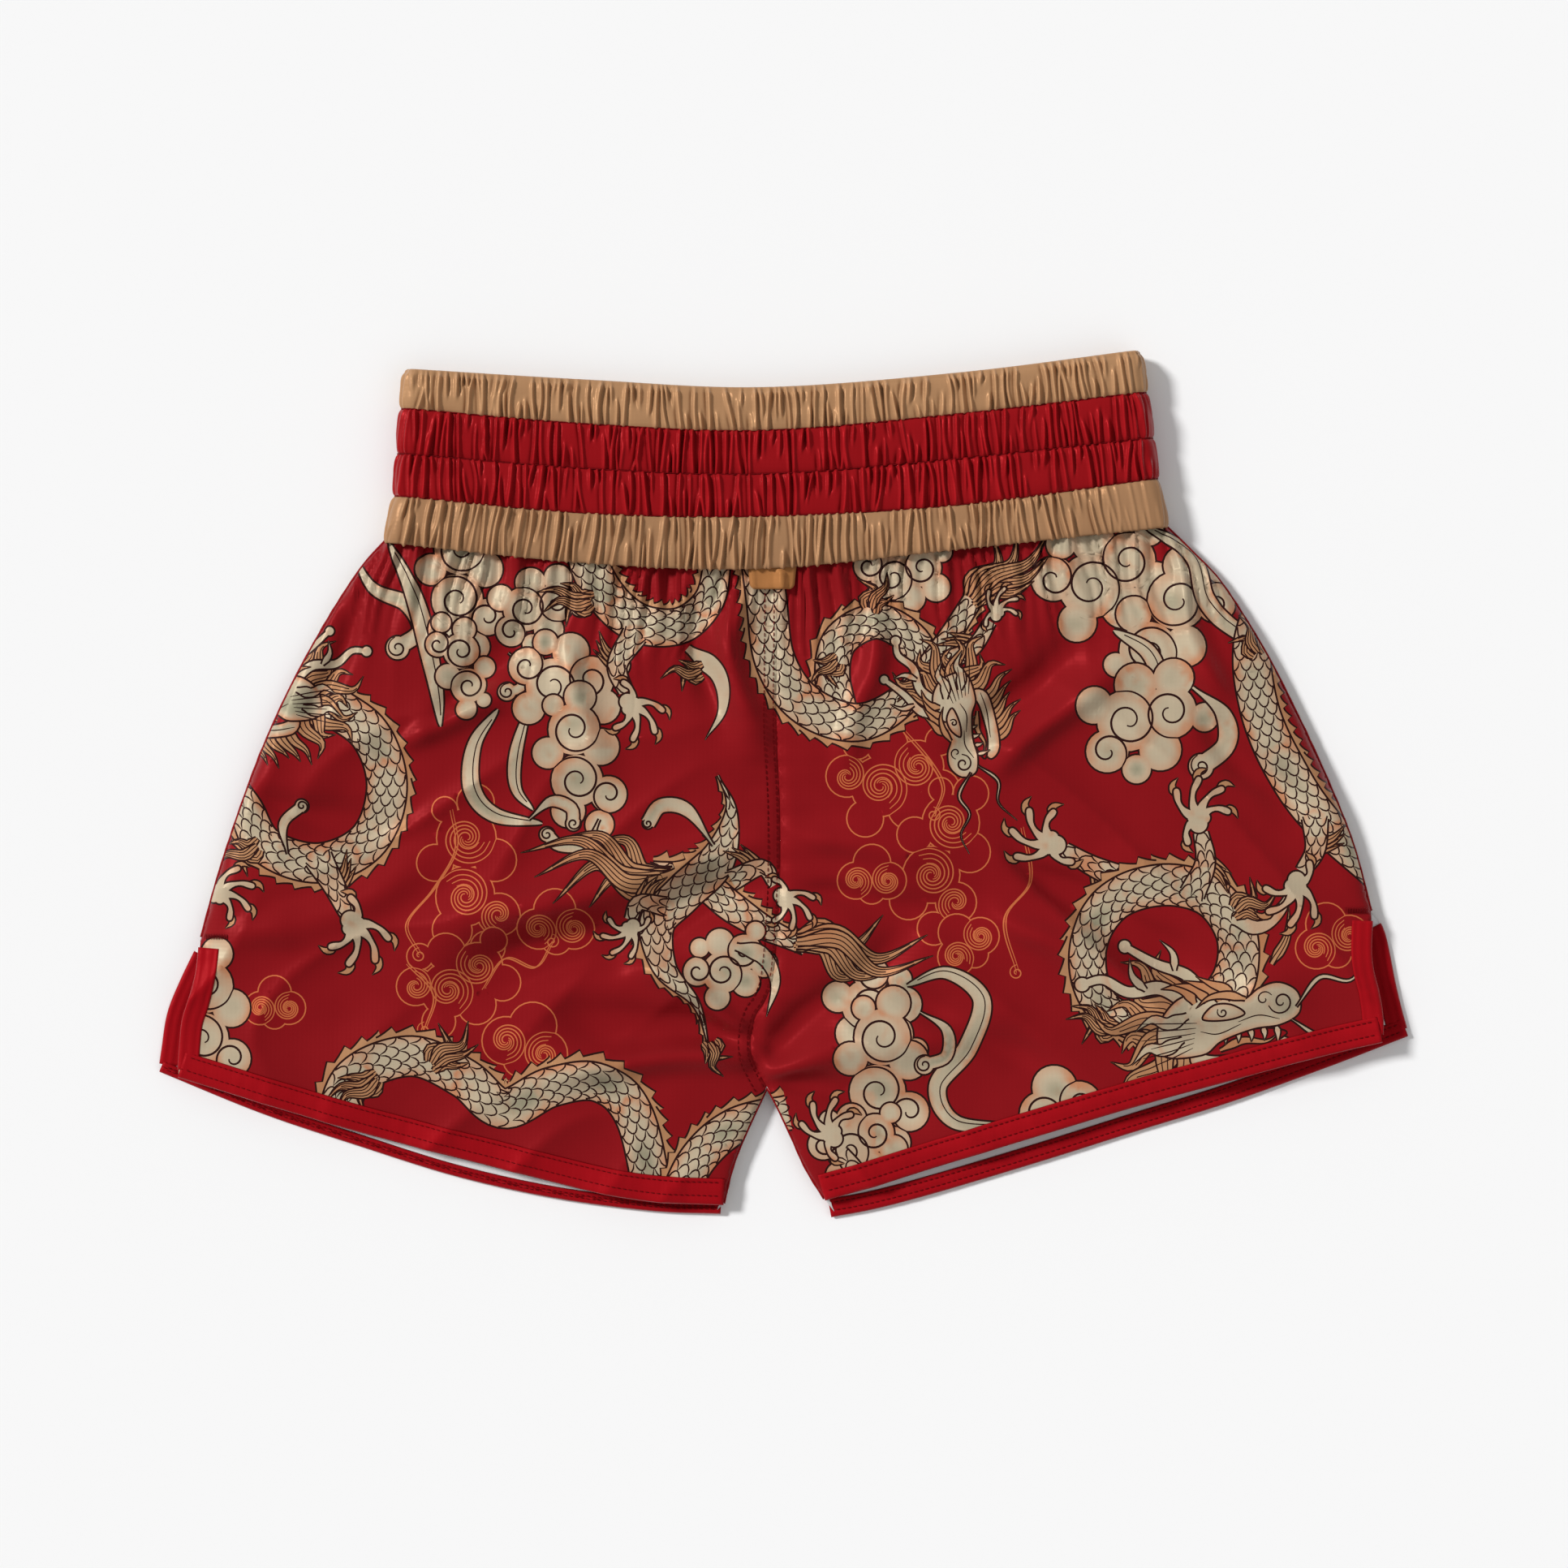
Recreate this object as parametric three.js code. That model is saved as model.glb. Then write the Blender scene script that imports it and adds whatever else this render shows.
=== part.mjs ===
// Boxing shorts lying flat on their back, in millimetres.
// +X points to the wearer's left side, +Y to the waist, +Z up out of the front of the shorts.
// The origin is under the middle of the garment, on the surface that the back lies on.
import * as THREE from "three";

// ---- Driving dimensions ----
const CLOTH = 0.6; // thickness of a satin panel
const GAP = 0.3; // clearance kept between neighbouring solids
const MID_Z = 8.6; // middle height of the waistband loop
const BAND_RADIUS = 7; // half the waistband's thickness at a stitch line
const ROW_BULGE = 1.6; // how far a row of gathers stands out between its stitch lines
const CASING = 1.0; // gathered casing, two plies
const ELASTIC = 1.4; // woven elastic tape
const FACING = 0.6; // inner facing of the waistband
const BINDING = 0.5; // satin binding tape
const HEM_WIDTH = 13; // visible width of a hem binding
const VENT_WIDTH = 10; // visible width of a vent binding
const THREAD = 0.8; // width of a line of stitching
const THREAD_HEIGHT = 0.4; // how far a line of stitching on a panel stands up
const BAND_THREAD = 0.5; // thickness of the stitching between two rows of the waistband
const ROW_HEIGHT = 20; // usual distance between two stitch lines of the waistband
const SEAM_PLY = 0.8; // thickness of a seam allowance
const CENTRE_ALLOWANCE = 8; // width of the centre seams' allowance
const WAIST_ALLOWANCE = 5; // width of the waist seam's allowance
const WAIST_ALLOWANCE_DROP = 3.6; // from the waist seam to the middle of its allowance
const TOPSTITCH = { inner: 1.2, outer: 5.2 }; // distances of the topstitching from the centre seam
const BARTACK = { length: 9, width: 2, height: 0.8, inset: 13 }; // inset from the side seam
const STITCH_INSET = 2; // from a hem binding's upper edge to its stitching
const CENTRE_X = -2; // centre seam at the waist
// The small tab below the waistband: its widths, height, cut corners, thickness and middle.
const TAB = { top: 22.6, bottom: 20, height: 10, corner: 2, thickness: 0.5, x: -5.4 };
const BACK_Z = CLOTH / 2 + GAP + BINDING; // middle of the back panels: their bindings lie on the floor
const FRONT_Z = 13.2; // middle of the front panels
const SEAM_RADIUS = (FRONT_Z - BACK_Z) / 2; // the rolled side seam, which joins the front to the back

// ---- Outlines, each a smooth curve through a few points ----
// The five lines of the waistband, from its top edge to the seam with the panels.
const WAIST_LINES = [
  [[-173.5, 187.5], [-90, 182.2], [-10, 178.8], [80, 185.6], [163, 196]],
  [[-174.6, 171], [-90, 163.8], [-10, 160.8], [80, 168.4], [165.4, 178.4]],
  [[-176.5, 150.5], [-90, 143.5], [-10, 141], [80, 148], [168.4, 157.6]],
  [[-177.6, 131.2], [-90, 123.2], [-10, 121.8], [80, 127], [170.6, 139.2]],
  [[-182.5, 110], [-90, 100.5], [-10, 98], [80, 106.8], [175.4, 117]],
];
// The outer edge from the waist seam to the top of the vent, and the back panel's edge below it.
const SIDES = {
  right: {
    seam: [[-183, 108], [-197.5, 91], [-215, 61.5], [-231.5, 32], [-243.5, 2], [-254, -27.5], [-266, -67]],
    back_vent: [[-268, -73], [-275, -88], [-281.5, -103], [-285.5, -131]],
    front_vent: [[-266, -73], [-270, -100], [-275, -134]],
  },
  left: {
    seam: [[177, 115], [200, 91], [219, 61.5], [234, 32], [248, 2], [259.7, -27.5], [270, -58]],
    back_vent: [[272, -63], [277, -82], [281.5, -103], [285.4, -114.5]],
    front_vent: [[270.5, -63], [270, -88], [272, -114.5]],
  },
};
const INSEAMS = {
  right: [[-8, -138.5], [-18, -160.5], [-23.5, -175.5], [-27.5, -190]],
  left: [[-8, -138.5], [3.5, -160.5], [10, -175.5], [19, -190]],
};
const CENTRE_SEAM = [[CENTRE_X, 97.4], [-0.5, 25], [0.5, -85], [-4, -110], [-8, -131]];
const HEMS = {
  right: {
    front: [[-275, -135], [-205, -155.5], [-134, -177], [-73, -188.7], [-29, -190.5]],
    back: [[-285.5, -131.7], [-209.5, -158.5], [-120.5, -184], [-61.5, -193.5], [-29, -195]],
  },
  left: {
    front: [[271.8, -117], [193, -137], [117.5, -156.5], [48.5, -181.5], [19, -189.8]],
    back: [[285.3, -115.2], [205, -143], [116, -170.8], [57, -188.8], [22, -196.2]],
  },
};

// Where each piece begins and ends, as shares of the length of its curve.
const SPAN = {
  side: { from: 0.012, to: 0.985 },
  inseam: { from: 0.14, to: 0.97 },
  hem: { from: 0.045, to: 0.955 },
  hemPanel: { from: 0.012, to: 0.96 },
  hemStitching: { from: 0.06, to: 0.94 },
  vent: { from: 0.05, to: 0.72 },
  ventPanel: { from: 0.1, to: 0.97 },
  centreSeam: { from: 0.03, to: 0.97 },
  topstitch: { from: 0.02, to: 0.97 },
  waistSeam: { from: 0.05, to: 0.95 },
};

// ---- Curves ----
const spline = (points) => new THREE.SplineCurve(points.map(([x, y]) => new THREE.Vector2(x, y)));

// A point on a curve at share t, moved sideways by d. Positive d is to the right of the way along.
function offsetPoint(curve, t, d) {
  const p = curve.getPointAt(t);
  const along = curve.getTangentAt(t);
  return new THREE.Vector2(p.x + along.y * d, p.y - along.x * d);
}

// The height y of a waist line at x: a cubic through its points, held at its ends.
function lineAt(points, x) {
  const last = points.length - 1;
  const at = Math.min(Math.max(x, points[0][0]), points[last][0]);
  let i = 0;
  while (i < last - 1 && at > points[i + 1][0]) i++;
  const slope = (k) => {
    const a = points[Math.max(k - 1, 0)];
    const b = points[Math.min(k + 1, last)];
    return (b[1] - a[1]) / (b[0] - a[0]);
  };
  const [x0, y0] = points[i];
  const [x1, y1] = points[i + 1];
  const w = x1 - x0;
  const t = (at - x0) / w;
  const rise = t * t * (3 - 2 * t);
  return y0 + (y1 - y0) * rise + w * (t * (1 - t) ** 2 * slope(i) - t * t * (1 - t) * slope(i + 1));
}

// ---- Solids ----
// A closed solid between two grids of points. outer and inner take shares u and v and give a Vector3.
// A loop joins its last column to its first.
function shell(outer, inner, columns, rows, loop = false) {
  const positions = [];
  const index = [];
  const across = loop ? columns : columns + 1;
  const grid = (surface) => {
    const first = positions.length / 3;
    for (let i = 0; i < across; i++) {
      for (let j = 0; j <= rows; j++) positions.push(...surface(i / columns, j / rows).toArray());
    }
    return (i, j) => first + (i % across) * (rows + 1) + j;
  };
  const a = grid(outer);
  const b = grid(inner);
  const quad = (p, q, r, s) => index.push(p, q, r, p, r, s);
  for (let i = 0; i < columns; i++) {
    for (let j = 0; j < rows; j++) {
      quad(a(i, j), a(i + 1, j), a(i + 1, j + 1), a(i, j + 1));
      quad(b(i, j), b(i, j + 1), b(i + 1, j + 1), b(i + 1, j));
    }
    quad(a(i, 0), b(i, 0), b(i + 1, 0), a(i + 1, 0));
    quad(a(i, rows), a(i + 1, rows), b(i + 1, rows), b(i, rows));
  }
  for (let j = 0; j < rows && !loop; j++) {
    quad(a(0, j), a(0, j + 1), b(0, j + 1), b(0, j));
    quad(a(columns, j), b(columns, j), b(columns, j + 1), a(columns, j + 1));
  }
  const geometry = new THREE.BufferGeometry();
  geometry.setAttribute("position", new THREE.Float32BufferAttribute(positions, 3));
  geometry.setIndex(signedVolume(positions, index) < 0 ? index.reverse() : index);
  geometry.computeVertexNormals();
  return geometry;
}

function signedVolume(positions, index) {
  const corner = (k) => new THREE.Vector3().fromArray(positions, 3 * index[k]);
  let sum = 0;
  for (let k = 0; k < index.length; k += 3) sum += corner(k).dot(corner(k + 1).cross(corner(k + 2)));
  return sum / 6;
}

// A flat panel of cloth from its outline, with its middle at height z.
function panel(outline, z) {
  const geometry = new THREE.ExtrudeGeometry(new THREE.Shape(outline), { depth: CLOTH, bevelEnabled: false });
  return geometry.translate(0, 0, z - CLOTH / 2);
}

// Tape folded round a cloth edge: a straight ply over, a half round and a straight ply under.
// The edge runs along the curve, and inward is the side that the cloth lies on, 1 or -1.
function folded(curve, { width, radius, thickness, z, inward, from = 0, to = 1, stations = 12 }) {
  const BEND_STEPS = 4;
  const plies = width > 0 ? 1 : 0;
  const steps = BEND_STEPS + 2 * plies;
  const face = (r) => (u, v) => {
    const step = Math.round(u * steps);
    const bend = Math.min(Math.max(step - plies, 0), BEND_STEPS) / BEND_STEPS;
    const angle = Math.PI * (0.5 - bend);
    const straight = step < plies || step > steps - plies ? width : 0;
    const reach = radius + thickness / 2 - r * Math.cos(angle) + straight;
    const p = offsetPoint(curve, from + (to - from) * v, inward * reach);
    return new THREE.Vector3(p.x, p.y, z + r * Math.sin(angle));
  };
  return shell(face(radius + thickness / 2), face(radius - thickness / 2), steps, stations);
}

// A bar of rectangular section along a curve, such as a seam allowance or a line of stitching.
function bar(curve, { width, thickness, z, shift = 0, from = 0, to = 1, stations = 12 }) {
  const side = (d) => (u, v) => {
    const p = offsetPoint(curve, from + (to - from) * v, shift + d);
    return new THREE.Vector3(p.x, p.y, z + (u - 0.5) * thickness);
  };
  return shell(side(width / 2), side(-width / 2), 1, stations);
}

// ---- The waistband loop ----
// A point of the loop. turn is 0 at the wearer's right, 0.5 at the left and 1 at the right again, over the
// front and back by the back. radius is the distance out from the loop's middle plane, and row counts the
// waist lines down from the top, with a fraction between them.
function loopPoint(turn, row, radius) {
  const ROUND = 1 / 6; // share of a half turn that each end of the loop takes
  const back = turn > 0.5;
  const half = back ? 2 * (1 - turn) : 2 * turn;
  const whole = Math.min(Math.floor(row), WAIST_LINES.length - 2);
  const above = WAIST_LINES[whole];
  const below = WAIST_LINES[whole + 1];
  const share = row - whole;
  const end = (k) => THREE.MathUtils.lerp(above.at(k)[0], below.at(k)[0], share);
  const leftmost = end(0) + BAND_RADIUS;
  const rightmost = end(-1) - BAND_RADIUS;
  let x, angle;
  if (half < ROUND) {
    angle = Math.PI * (1 - half / ROUND / 2);
    x = leftmost;
  } else if (half > 1 - ROUND) {
    angle = (Math.PI * (1 - half)) / ROUND / 2;
    x = rightmost;
  } else {
    angle = Math.PI / 2;
    x = THREE.MathUtils.mapLinear(half, ROUND, 1 - ROUND, leftmost, rightmost);
  }
  x += radius * Math.cos(angle);
  const y = THREE.MathUtils.lerp(lineAt(above, x), lineAt(below, x), share);
  return new THREE.Vector3(x, y, MID_Z + (back ? -1 : 1) * radius * Math.sin(angle));
}

const ROWS = WAIST_LINES.length - 1; // rows of gathers
const LOOP_COLUMNS = 36; // facets round the whole band
const HALF_COLUMNS = 18; // facets over its front or its back
const ROW_STEPS = 4; // facets across one row
const ROW_EDGE = 0.014; // share of a row left free at each stitch line
const INNER_BULGE = 0.25; // how far the inside of a row of gathers stands out
const ELASTIC_EDGE = 0.06; // share of a row between a stitch line and the elastic
const FACING_EDGE = 0.05; // share of a row between the band's edge and the facing

// One row of gathered casing over the front or under the back, from side seam to side seam.
function casing(row, isBack) {
  const SIDE_GAP = 0.0006; // share of the loop left free at each side seam
  const face = (depth, bulge) => (u, v) => {
    const turn = (isBack ? 0.5 : 0) + THREE.MathUtils.clamp(u / 2, SIDE_GAP, 0.5 - SIDE_GAP);
    const down = THREE.MathUtils.lerp(ROW_EDGE, 1 - ROW_EDGE, v);
    return loopPoint(turn, row + down, BAND_RADIUS - depth + bulge * Math.sin(Math.PI * v));
  };
  return shell(face(0, ROW_BULGE), face(CASING, INNER_BULGE), HALF_COLUMNS, ROW_STEPS);
}

// A closed loop of tape inside the waistband, such as an elastic.
function tapeLoop(fromRow, toRow, depth, thickness) {
  const face = (d) => (u, v) => loopPoint(u, THREE.MathUtils.lerp(fromRow, toRow, v), BAND_RADIUS - d);
  return shell(face(depth), face(depth + thickness), LOOP_COLUMNS, 1, true);
}

const elasticDepth = CASING + GAP;
const facingDepth = elasticDepth + ELASTIC + GAP;

function facing(isBack) {
  const SIDE_GAP = 0.0015; // share of the loop left free at each side seam
  const face = (depth) => (u, v) => {
    const turn = (isBack ? 0.5 : 0) + THREE.MathUtils.clamp(u / 2, SIDE_GAP, 0.5 - SIDE_GAP);
    return loopPoint(turn, THREE.MathUtils.clamp(ROWS * v, FACING_EDGE, ROWS - FACING_EDGE), BAND_RADIUS - depth);
  };
  return shell(face(facingDepth), face(facingDepth + FACING), HALF_COLUMNS, ROWS);
}

// ---- Panels ----
const SIDE_SIGN = { right: -1, left: 1 };

// Samples of part of a curve, moved sideways by d.
function samples(curve, d, { from, to }, count) {
  const found = [];
  for (let i = 0; i <= count; i++) found.push(offsetPoint(curve, from + ((to - from) * i) / count, d));
  return found;
}

// The outline of one panel: down the side, along the hem, up the inseam and the centre seam, and along the waist.
function panelOutline(side, layer) {
  const sign = SIDE_SIGN[side];
  const seamInset = sign * (SEAM_RADIUS + BINDING / 2 + 2 * GAP);
  const bindingInset = sign * (BINDING * 2 + GAP);
  const down = samples(spline(SIDES[side].seam), seamInset, SPAN.side, 12);
  const vent = samples(spline(SIDES[side][layer + "_vent"]), bindingInset, SPAN.ventPanel, 4);
  const hem = samples(spline(HEMS[side][layer]), bindingInset, SPAN.hemPanel, 12);
  const inseam = samples(spline(INSEAMS[side]), -seamInset, SPAN.inseam, 5).reverse();
  const centre = samples(spline(CENTRE_SEAM), (sign * -GAP) / 2, { from: 0, to: 1 }, 10).reverse();
  const waist = [];
  for (let i = 1; i < 10; i++) {
    const x = THREE.MathUtils.lerp(CENTRE_X, down[0].x, i / 10);
    waist.push(new THREE.Vector2(x, lineAt(WAIST_LINES[4], x) - GAP * 2));
  }
  return [...down, ...vent, ...hem, ...inseam, ...centre, ...waist];
}

// ---- Materials ----
const cloth = (colour, roughness) => new THREE.MeshStandardMaterial({ color: colour, roughness, metalness: 0 });
const redSatin = cloth(0x931c21, 0.42);
const goldSatin = cloth(0xa5795a, 0.42);
const redBinding = cloth(0xa0141b, 0.5);
const whiteElastic = cloth(0xe6e3dc, 0.8);
const redThread = cloth(0x5e0b10, 0.7);

// ---- Assembly ----
const shorts = new THREE.Group();

function add(name, geometry, material) {
  const mesh = new THREE.Mesh(geometry, material);
  mesh.name = name;
  shorts.add(mesh);
}

// Waistband: four gathered rows with an elastic in each, a facing behind them and the stitching between them.
for (let row = 0; row < ROWS; row++) {
  const material = row === 1 || row === 2 ? redSatin : goldSatin;
  add(`waistband_front_row_${row + 1}`, casing(row, false), material);
  add(`waistband_back_row_${row + 1}`, casing(row, true), material);
  const elastic = tapeLoop(row + ELASTIC_EDGE, row + 1 - ELASTIC_EDGE, elasticDepth, ELASTIC);
  add(`elastic_row_${row + 1}`, elastic, whiteElastic);
}
add("waistband_front_facing", facing(false), goldSatin);
add("waistband_back_facing", facing(true), goldSatin);
for (let line = 1; line < ROWS; line++) {
  const half = THREAD / 2 / ROW_HEIGHT; // as a share of a row
  const loop = tapeLoop(line - half, line + half, -GAP - BAND_THREAD, BAND_THREAD);
  add(`waistband_stitching_${line}`, loop, redThread);
}

for (const side of ["right", "left"]) {
  const sign = SIDE_SIGN[side];
  const seam = spline(SIDES[side].seam);
  const middle = (FRONT_Z + BACK_Z) / 2;

  // Satin panels and the seams that join them at the side and between the legs.
  add(`${side}_front_panel`, panel(panelOutline(side, "front"), FRONT_Z), redSatin);
  add(`${side}_back_panel`, panel(panelOutline(side, "back"), BACK_Z), redSatin);
  const roll = { width: 0, radius: SEAM_RADIUS, thickness: BINDING, z: middle, inward: sign };
  add(`${side}_side_seam`, folded(seam, { ...roll, ...SPAN.side, stations: 14 }), redSatin);
  const inside = { ...roll, inward: -sign, ...SPAN.inseam, stations: 6 };
  add(`${side}_inseam`, folded(spline(INSEAMS[side]), inside), redSatin);

  // Bindings of the hems and the vents, each with its line of stitching.
  for (const layer of ["front", "back"]) {
    const z = layer === "front" ? FRONT_Z : BACK_Z;
    const tape = { radius: CLOTH / 2 + GAP + BINDING / 2, thickness: BINDING, z };
    const hem = spline(HEMS[side][layer]);
    const vent = spline(SIDES[side][layer + "_vent"]);
    const over = z + CLOTH / 2 + 2 * GAP + BINDING + THREAD_HEIGHT / 2;
    const hemTape = { ...tape, width: HEM_WIDTH, inward: sign, ...SPAN.hem };
    const ventTape = { ...tape, width: VENT_WIDTH, inward: sign, ...SPAN.vent, stations: 5 };
    add(`${side}_${layer}_hem_binding`, folded(hem, hemTape), redBinding);
    add(`${side}_${layer}_vent_binding`, folded(vent, ventTape), redBinding);
    const shift = sign * (HEM_WIDTH - STITCH_INSET);
    const stitching = { width: THREAD, thickness: THREAD_HEIGHT, z: over, shift, ...SPAN.hemStitching };
    add(`${side}_${layer}_hem_stitching`, bar(hem, stitching), redThread);
  }

  // A bartack closes the top of each vent.
  const tack = seam.getPointAt(SPAN.side.to);
  const block = new THREE.BoxGeometry(BARTACK.length, BARTACK.width, BARTACK.height);
  block.translate(tack.x - sign * BARTACK.inset, tack.y, FRONT_Z + CLOTH / 2 + GAP + BARTACK.height / 2);
  add(`${side}_vent_bartack`, block, redThread);
}

// Centre seams: the felled allowance inside each layer, and the double topstitching down the front.
const centre = spline(CENTRE_SEAM);
const underFront = FRONT_Z - CLOTH / 2 - GAP - SEAM_PLY / 2;
const overBack = BACK_Z + CLOTH / 2 + GAP + SEAM_PLY / 2;
const felled = { width: CENTRE_ALLOWANCE, thickness: SEAM_PLY, ...SPAN.centreSeam };
add("centre_front_seam", bar(centre, { ...felled, z: underFront }), redSatin);
add("centre_back_seam", bar(centre, { ...felled, z: overBack }), redSatin);
const onFront = FRONT_Z + CLOTH / 2 + GAP + THREAD_HEIGHT / 2;
for (const [name, shift] of Object.entries(TOPSTITCH)) {
  const line = { width: THREAD, thickness: THREAD_HEIGHT, z: onFront, shift, ...SPAN.topstitch };
  add(`centre_front_topstitch_${name}`, bar(centre, line), redThread);
}

// The seam that joins the panels to the waistband, inside the top edge of each layer.
const waistSeam = spline(WAIST_LINES[4]);
const allowance = {
  width: WAIST_ALLOWANCE, thickness: SEAM_PLY, shift: WAIST_ALLOWANCE_DROP, ...SPAN.waistSeam,
};
add("front_waist_seam", bar(waistSeam, { ...allowance, z: underFront }), redSatin);
add("back_waist_seam", bar(waistSeam, { ...allowance, z: overBack }), redSatin);

// The tab hangs below the middle of the waistband, over the front panels and their topstitching.
const tabTop = lineAt(WAIST_LINES[4], TAB.x) - GAP;
const tabFoot = tabTop - TAB.height;
const tab = new THREE.Shape([
  new THREE.Vector2(TAB.x - TAB.top / 2, tabTop),
  new THREE.Vector2(TAB.x + TAB.top / 2, tabTop),
  new THREE.Vector2(TAB.x + TAB.bottom / 2, tabFoot + TAB.corner),
  new THREE.Vector2(TAB.x + TAB.bottom / 2 - TAB.corner, tabFoot),
  new THREE.Vector2(TAB.x - TAB.bottom / 2 + TAB.corner, tabFoot),
  new THREE.Vector2(TAB.x - TAB.bottom / 2, tabFoot + TAB.corner),
]);
const tabSolid = new THREE.ExtrudeGeometry(tab, { depth: TAB.thickness, bevelEnabled: false });
tabSolid.translate(0, 0, onFront + THREAD_HEIGHT / 2 + GAP);
add("centre_tab", tabSolid, goldSatin);

export default shorts;
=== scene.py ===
# Boxing shorts lying flat: printed satin legs, a gathered two-colour waistband, bound hems and side vents.
# Shapes are worked out in millimetres in the frame of the CAD part and scaled to metres as each mesh is made.
import math

import bpy
import numpy as np
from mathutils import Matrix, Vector
from mathutils.geometry import delaunay_2d_cdt


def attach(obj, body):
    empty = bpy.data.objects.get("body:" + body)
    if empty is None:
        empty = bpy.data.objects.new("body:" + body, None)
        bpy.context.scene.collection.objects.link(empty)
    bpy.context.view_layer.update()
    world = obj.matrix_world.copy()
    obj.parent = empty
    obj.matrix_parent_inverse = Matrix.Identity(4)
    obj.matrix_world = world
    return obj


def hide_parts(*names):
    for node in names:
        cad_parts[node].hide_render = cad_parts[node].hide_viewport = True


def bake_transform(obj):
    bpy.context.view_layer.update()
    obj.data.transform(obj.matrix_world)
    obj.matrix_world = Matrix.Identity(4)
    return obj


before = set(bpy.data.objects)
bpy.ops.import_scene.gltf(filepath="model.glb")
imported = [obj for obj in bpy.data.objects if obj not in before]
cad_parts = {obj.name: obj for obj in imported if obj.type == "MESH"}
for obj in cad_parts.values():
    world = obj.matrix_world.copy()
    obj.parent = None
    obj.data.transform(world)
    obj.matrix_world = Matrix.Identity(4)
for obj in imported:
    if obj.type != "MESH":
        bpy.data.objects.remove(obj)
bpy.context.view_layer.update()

MM = 0.001
TURN = 2 * math.pi
SIDES = ("right", "left")
SIGN = {"right": -1, "left": 1}  # the wearer's right is at -X

# ---------------------------------------------------------------- outlines, in millimetres
# The five lines of the waistband, from its top edge to the seam with the legs.
WAIST = [
    [(-173.5, 187.5), (-90, 182.2), (-10, 178.8), (80, 185.6), (163, 196)],
    [(-174.6, 171), (-90, 163.8), (-10, 160.8), (80, 168.4), (165.4, 178.4)],
    [(-176.5, 150.5), (-90, 143.5), (-10, 141), (80, 148), (168.4, 157.6)],
    [(-177.6, 131.2), (-90, 123.2), (-10, 121.8), (80, 127), (170.6, 139.2)],
    [(-182.5, 110), (-90, 100.5), (-10, 98), (80, 106.8), (175.4, 117)],
]
# The edges of the panels: the sides from the waist to the vents, the vents, the hems, the inseams from the
# fork to the hems, and the centre seam from the waist to the fork.
SIDE = {
    "right": [(-182, 111), (-193, 98.4), (-207.6, 76), (-223.9, 46.6), (-237.5, 17), (-248.6, -12.6),
              (-258.3, -42.2), (-266, -70)],
    "left": [(174.6, 117.5), (186.5, 105.8), (200.2, 91), (219, 61.4), (234.2, 31.8), (247.9, 2.2),
             (259.7, -27.4), (268, -58)],
}
VENT = {
    ("right", "front"): [(-266, -70), (-267.4, -85), (-270.4, -98), (-274, -110), (-276, -133)],
    ("right", "back"): [(-266, -70), (-275.7, -90), (-281.6, -105), (-284.2, -121), (-285.6, -131)],
    ("left", "front"): [(268, -58), (267.5, -80), (270.5, -95), (272, -105), (272.3, -117)],
    ("left", "back"): [(268, -58), (274.2, -67.7), (279.4, -92), (282.3, -104), (285.3, -114.7)],
}
HEM = {
    ("right", "front"): [(-276, -133), (-204.2, -155), (-162, -166.5), (-125, -175.8), (-88.4, -185),
                         (-60, -189.8), (-27.6, -191.5)],
    ("right", "back"): [(-285.6, -131), (-239, -150), (-194.6, -164.9), (-150, -178.8), (-105.8, -188.6),
                        (-61.4, -194.6), (-29, -196)],
    ("left", "front"): [(272.3, -117), (239.4, -124.7), (190.6, -138), (158.4, -146.9), (97.3, -165.4),
                        (46.6, -181.3), (18.5, -189.4)],
    ("left", "back"): [(285.3, -114.7), (249.4, -128.6), (205, -144.6), (160.6, -158.4), (116.2, -172.4),
                       (71.8, -185.7), (42.2, -193.6), (21.5, -197.6)],
}
INSEAM = {
    "right": [(-7.8, -138.4), (-18, -160.6), (-23.7, -175.4), (-27.6, -191.5)],
    "left": [(-7.8, -138.4), (-3.7, -145.8), (3.3, -160.6), (10, -175.4), (18.5, -189.4)],
}
CENTRE = [(-3, 98), (-3.4, 30), (-1.8, -12), (-2, -50), (-4.6, -86), (-8.6, -99), (-13, -106), (-15.3, -118),
          (-13.4, -127.7), (-7.8, -138.4)]


# ---------------------------------------------------------------- curves and noise
def curve(points, step=2.0, closed=False):
    """A smooth polyline through the points."""
    p = np.asarray(points, float)
    if closed:
        ext = np.vstack([p[-1], p, p[0], p[1]])
        spans = len(p)
    else:
        ext = np.vstack([2 * p[0] - p[1], p, 2 * p[-1] - p[-2]])
        spans = len(p) - 1
    out = []
    for i in range(spans):
        a, b, c, d = ext[i:i + 4]
        n = max(2, int(np.linalg.norm(c - b) / step) + 1)
        t = np.linspace(0, 1, n, endpoint=False)[:, None]
        cubic = (2 * a - 5 * b + 4 * c - d) * t * t + (3 * b - a - 3 * c + d) * t ** 3
        out.append(0.5 * (2 * b + (c - a) * t + cubic))
    if not closed:
        out.append(p[-1:])
    return np.vstack(out)


def normals(line, closed=False):
    """The unit normals to the left of a polyline."""
    if closed:
        along = np.roll(line, -1, 0) - np.roll(line, 1, 0)
    else:
        along = np.gradient(line, axis=0)
    along /= np.maximum(np.linalg.norm(along, axis=1), 1e-9)[:, None]
    return np.column_stack([-along[:, 1], along[:, 0]])


def lengths(line):
    """The distance along a polyline to each of its points."""
    return np.concatenate([[0], np.cumsum(np.linalg.norm(np.diff(line, axis=0), axis=1))])


def resample(line, step):
    """The same polyline with even spacing."""
    s = lengths(line)
    at = np.linspace(0, s[-1], max(2, int(round(s[-1] / step)) + 1))
    return np.column_stack([np.interp(at, s, line[:, k]) for k in range(line.shape[1])])


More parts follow.
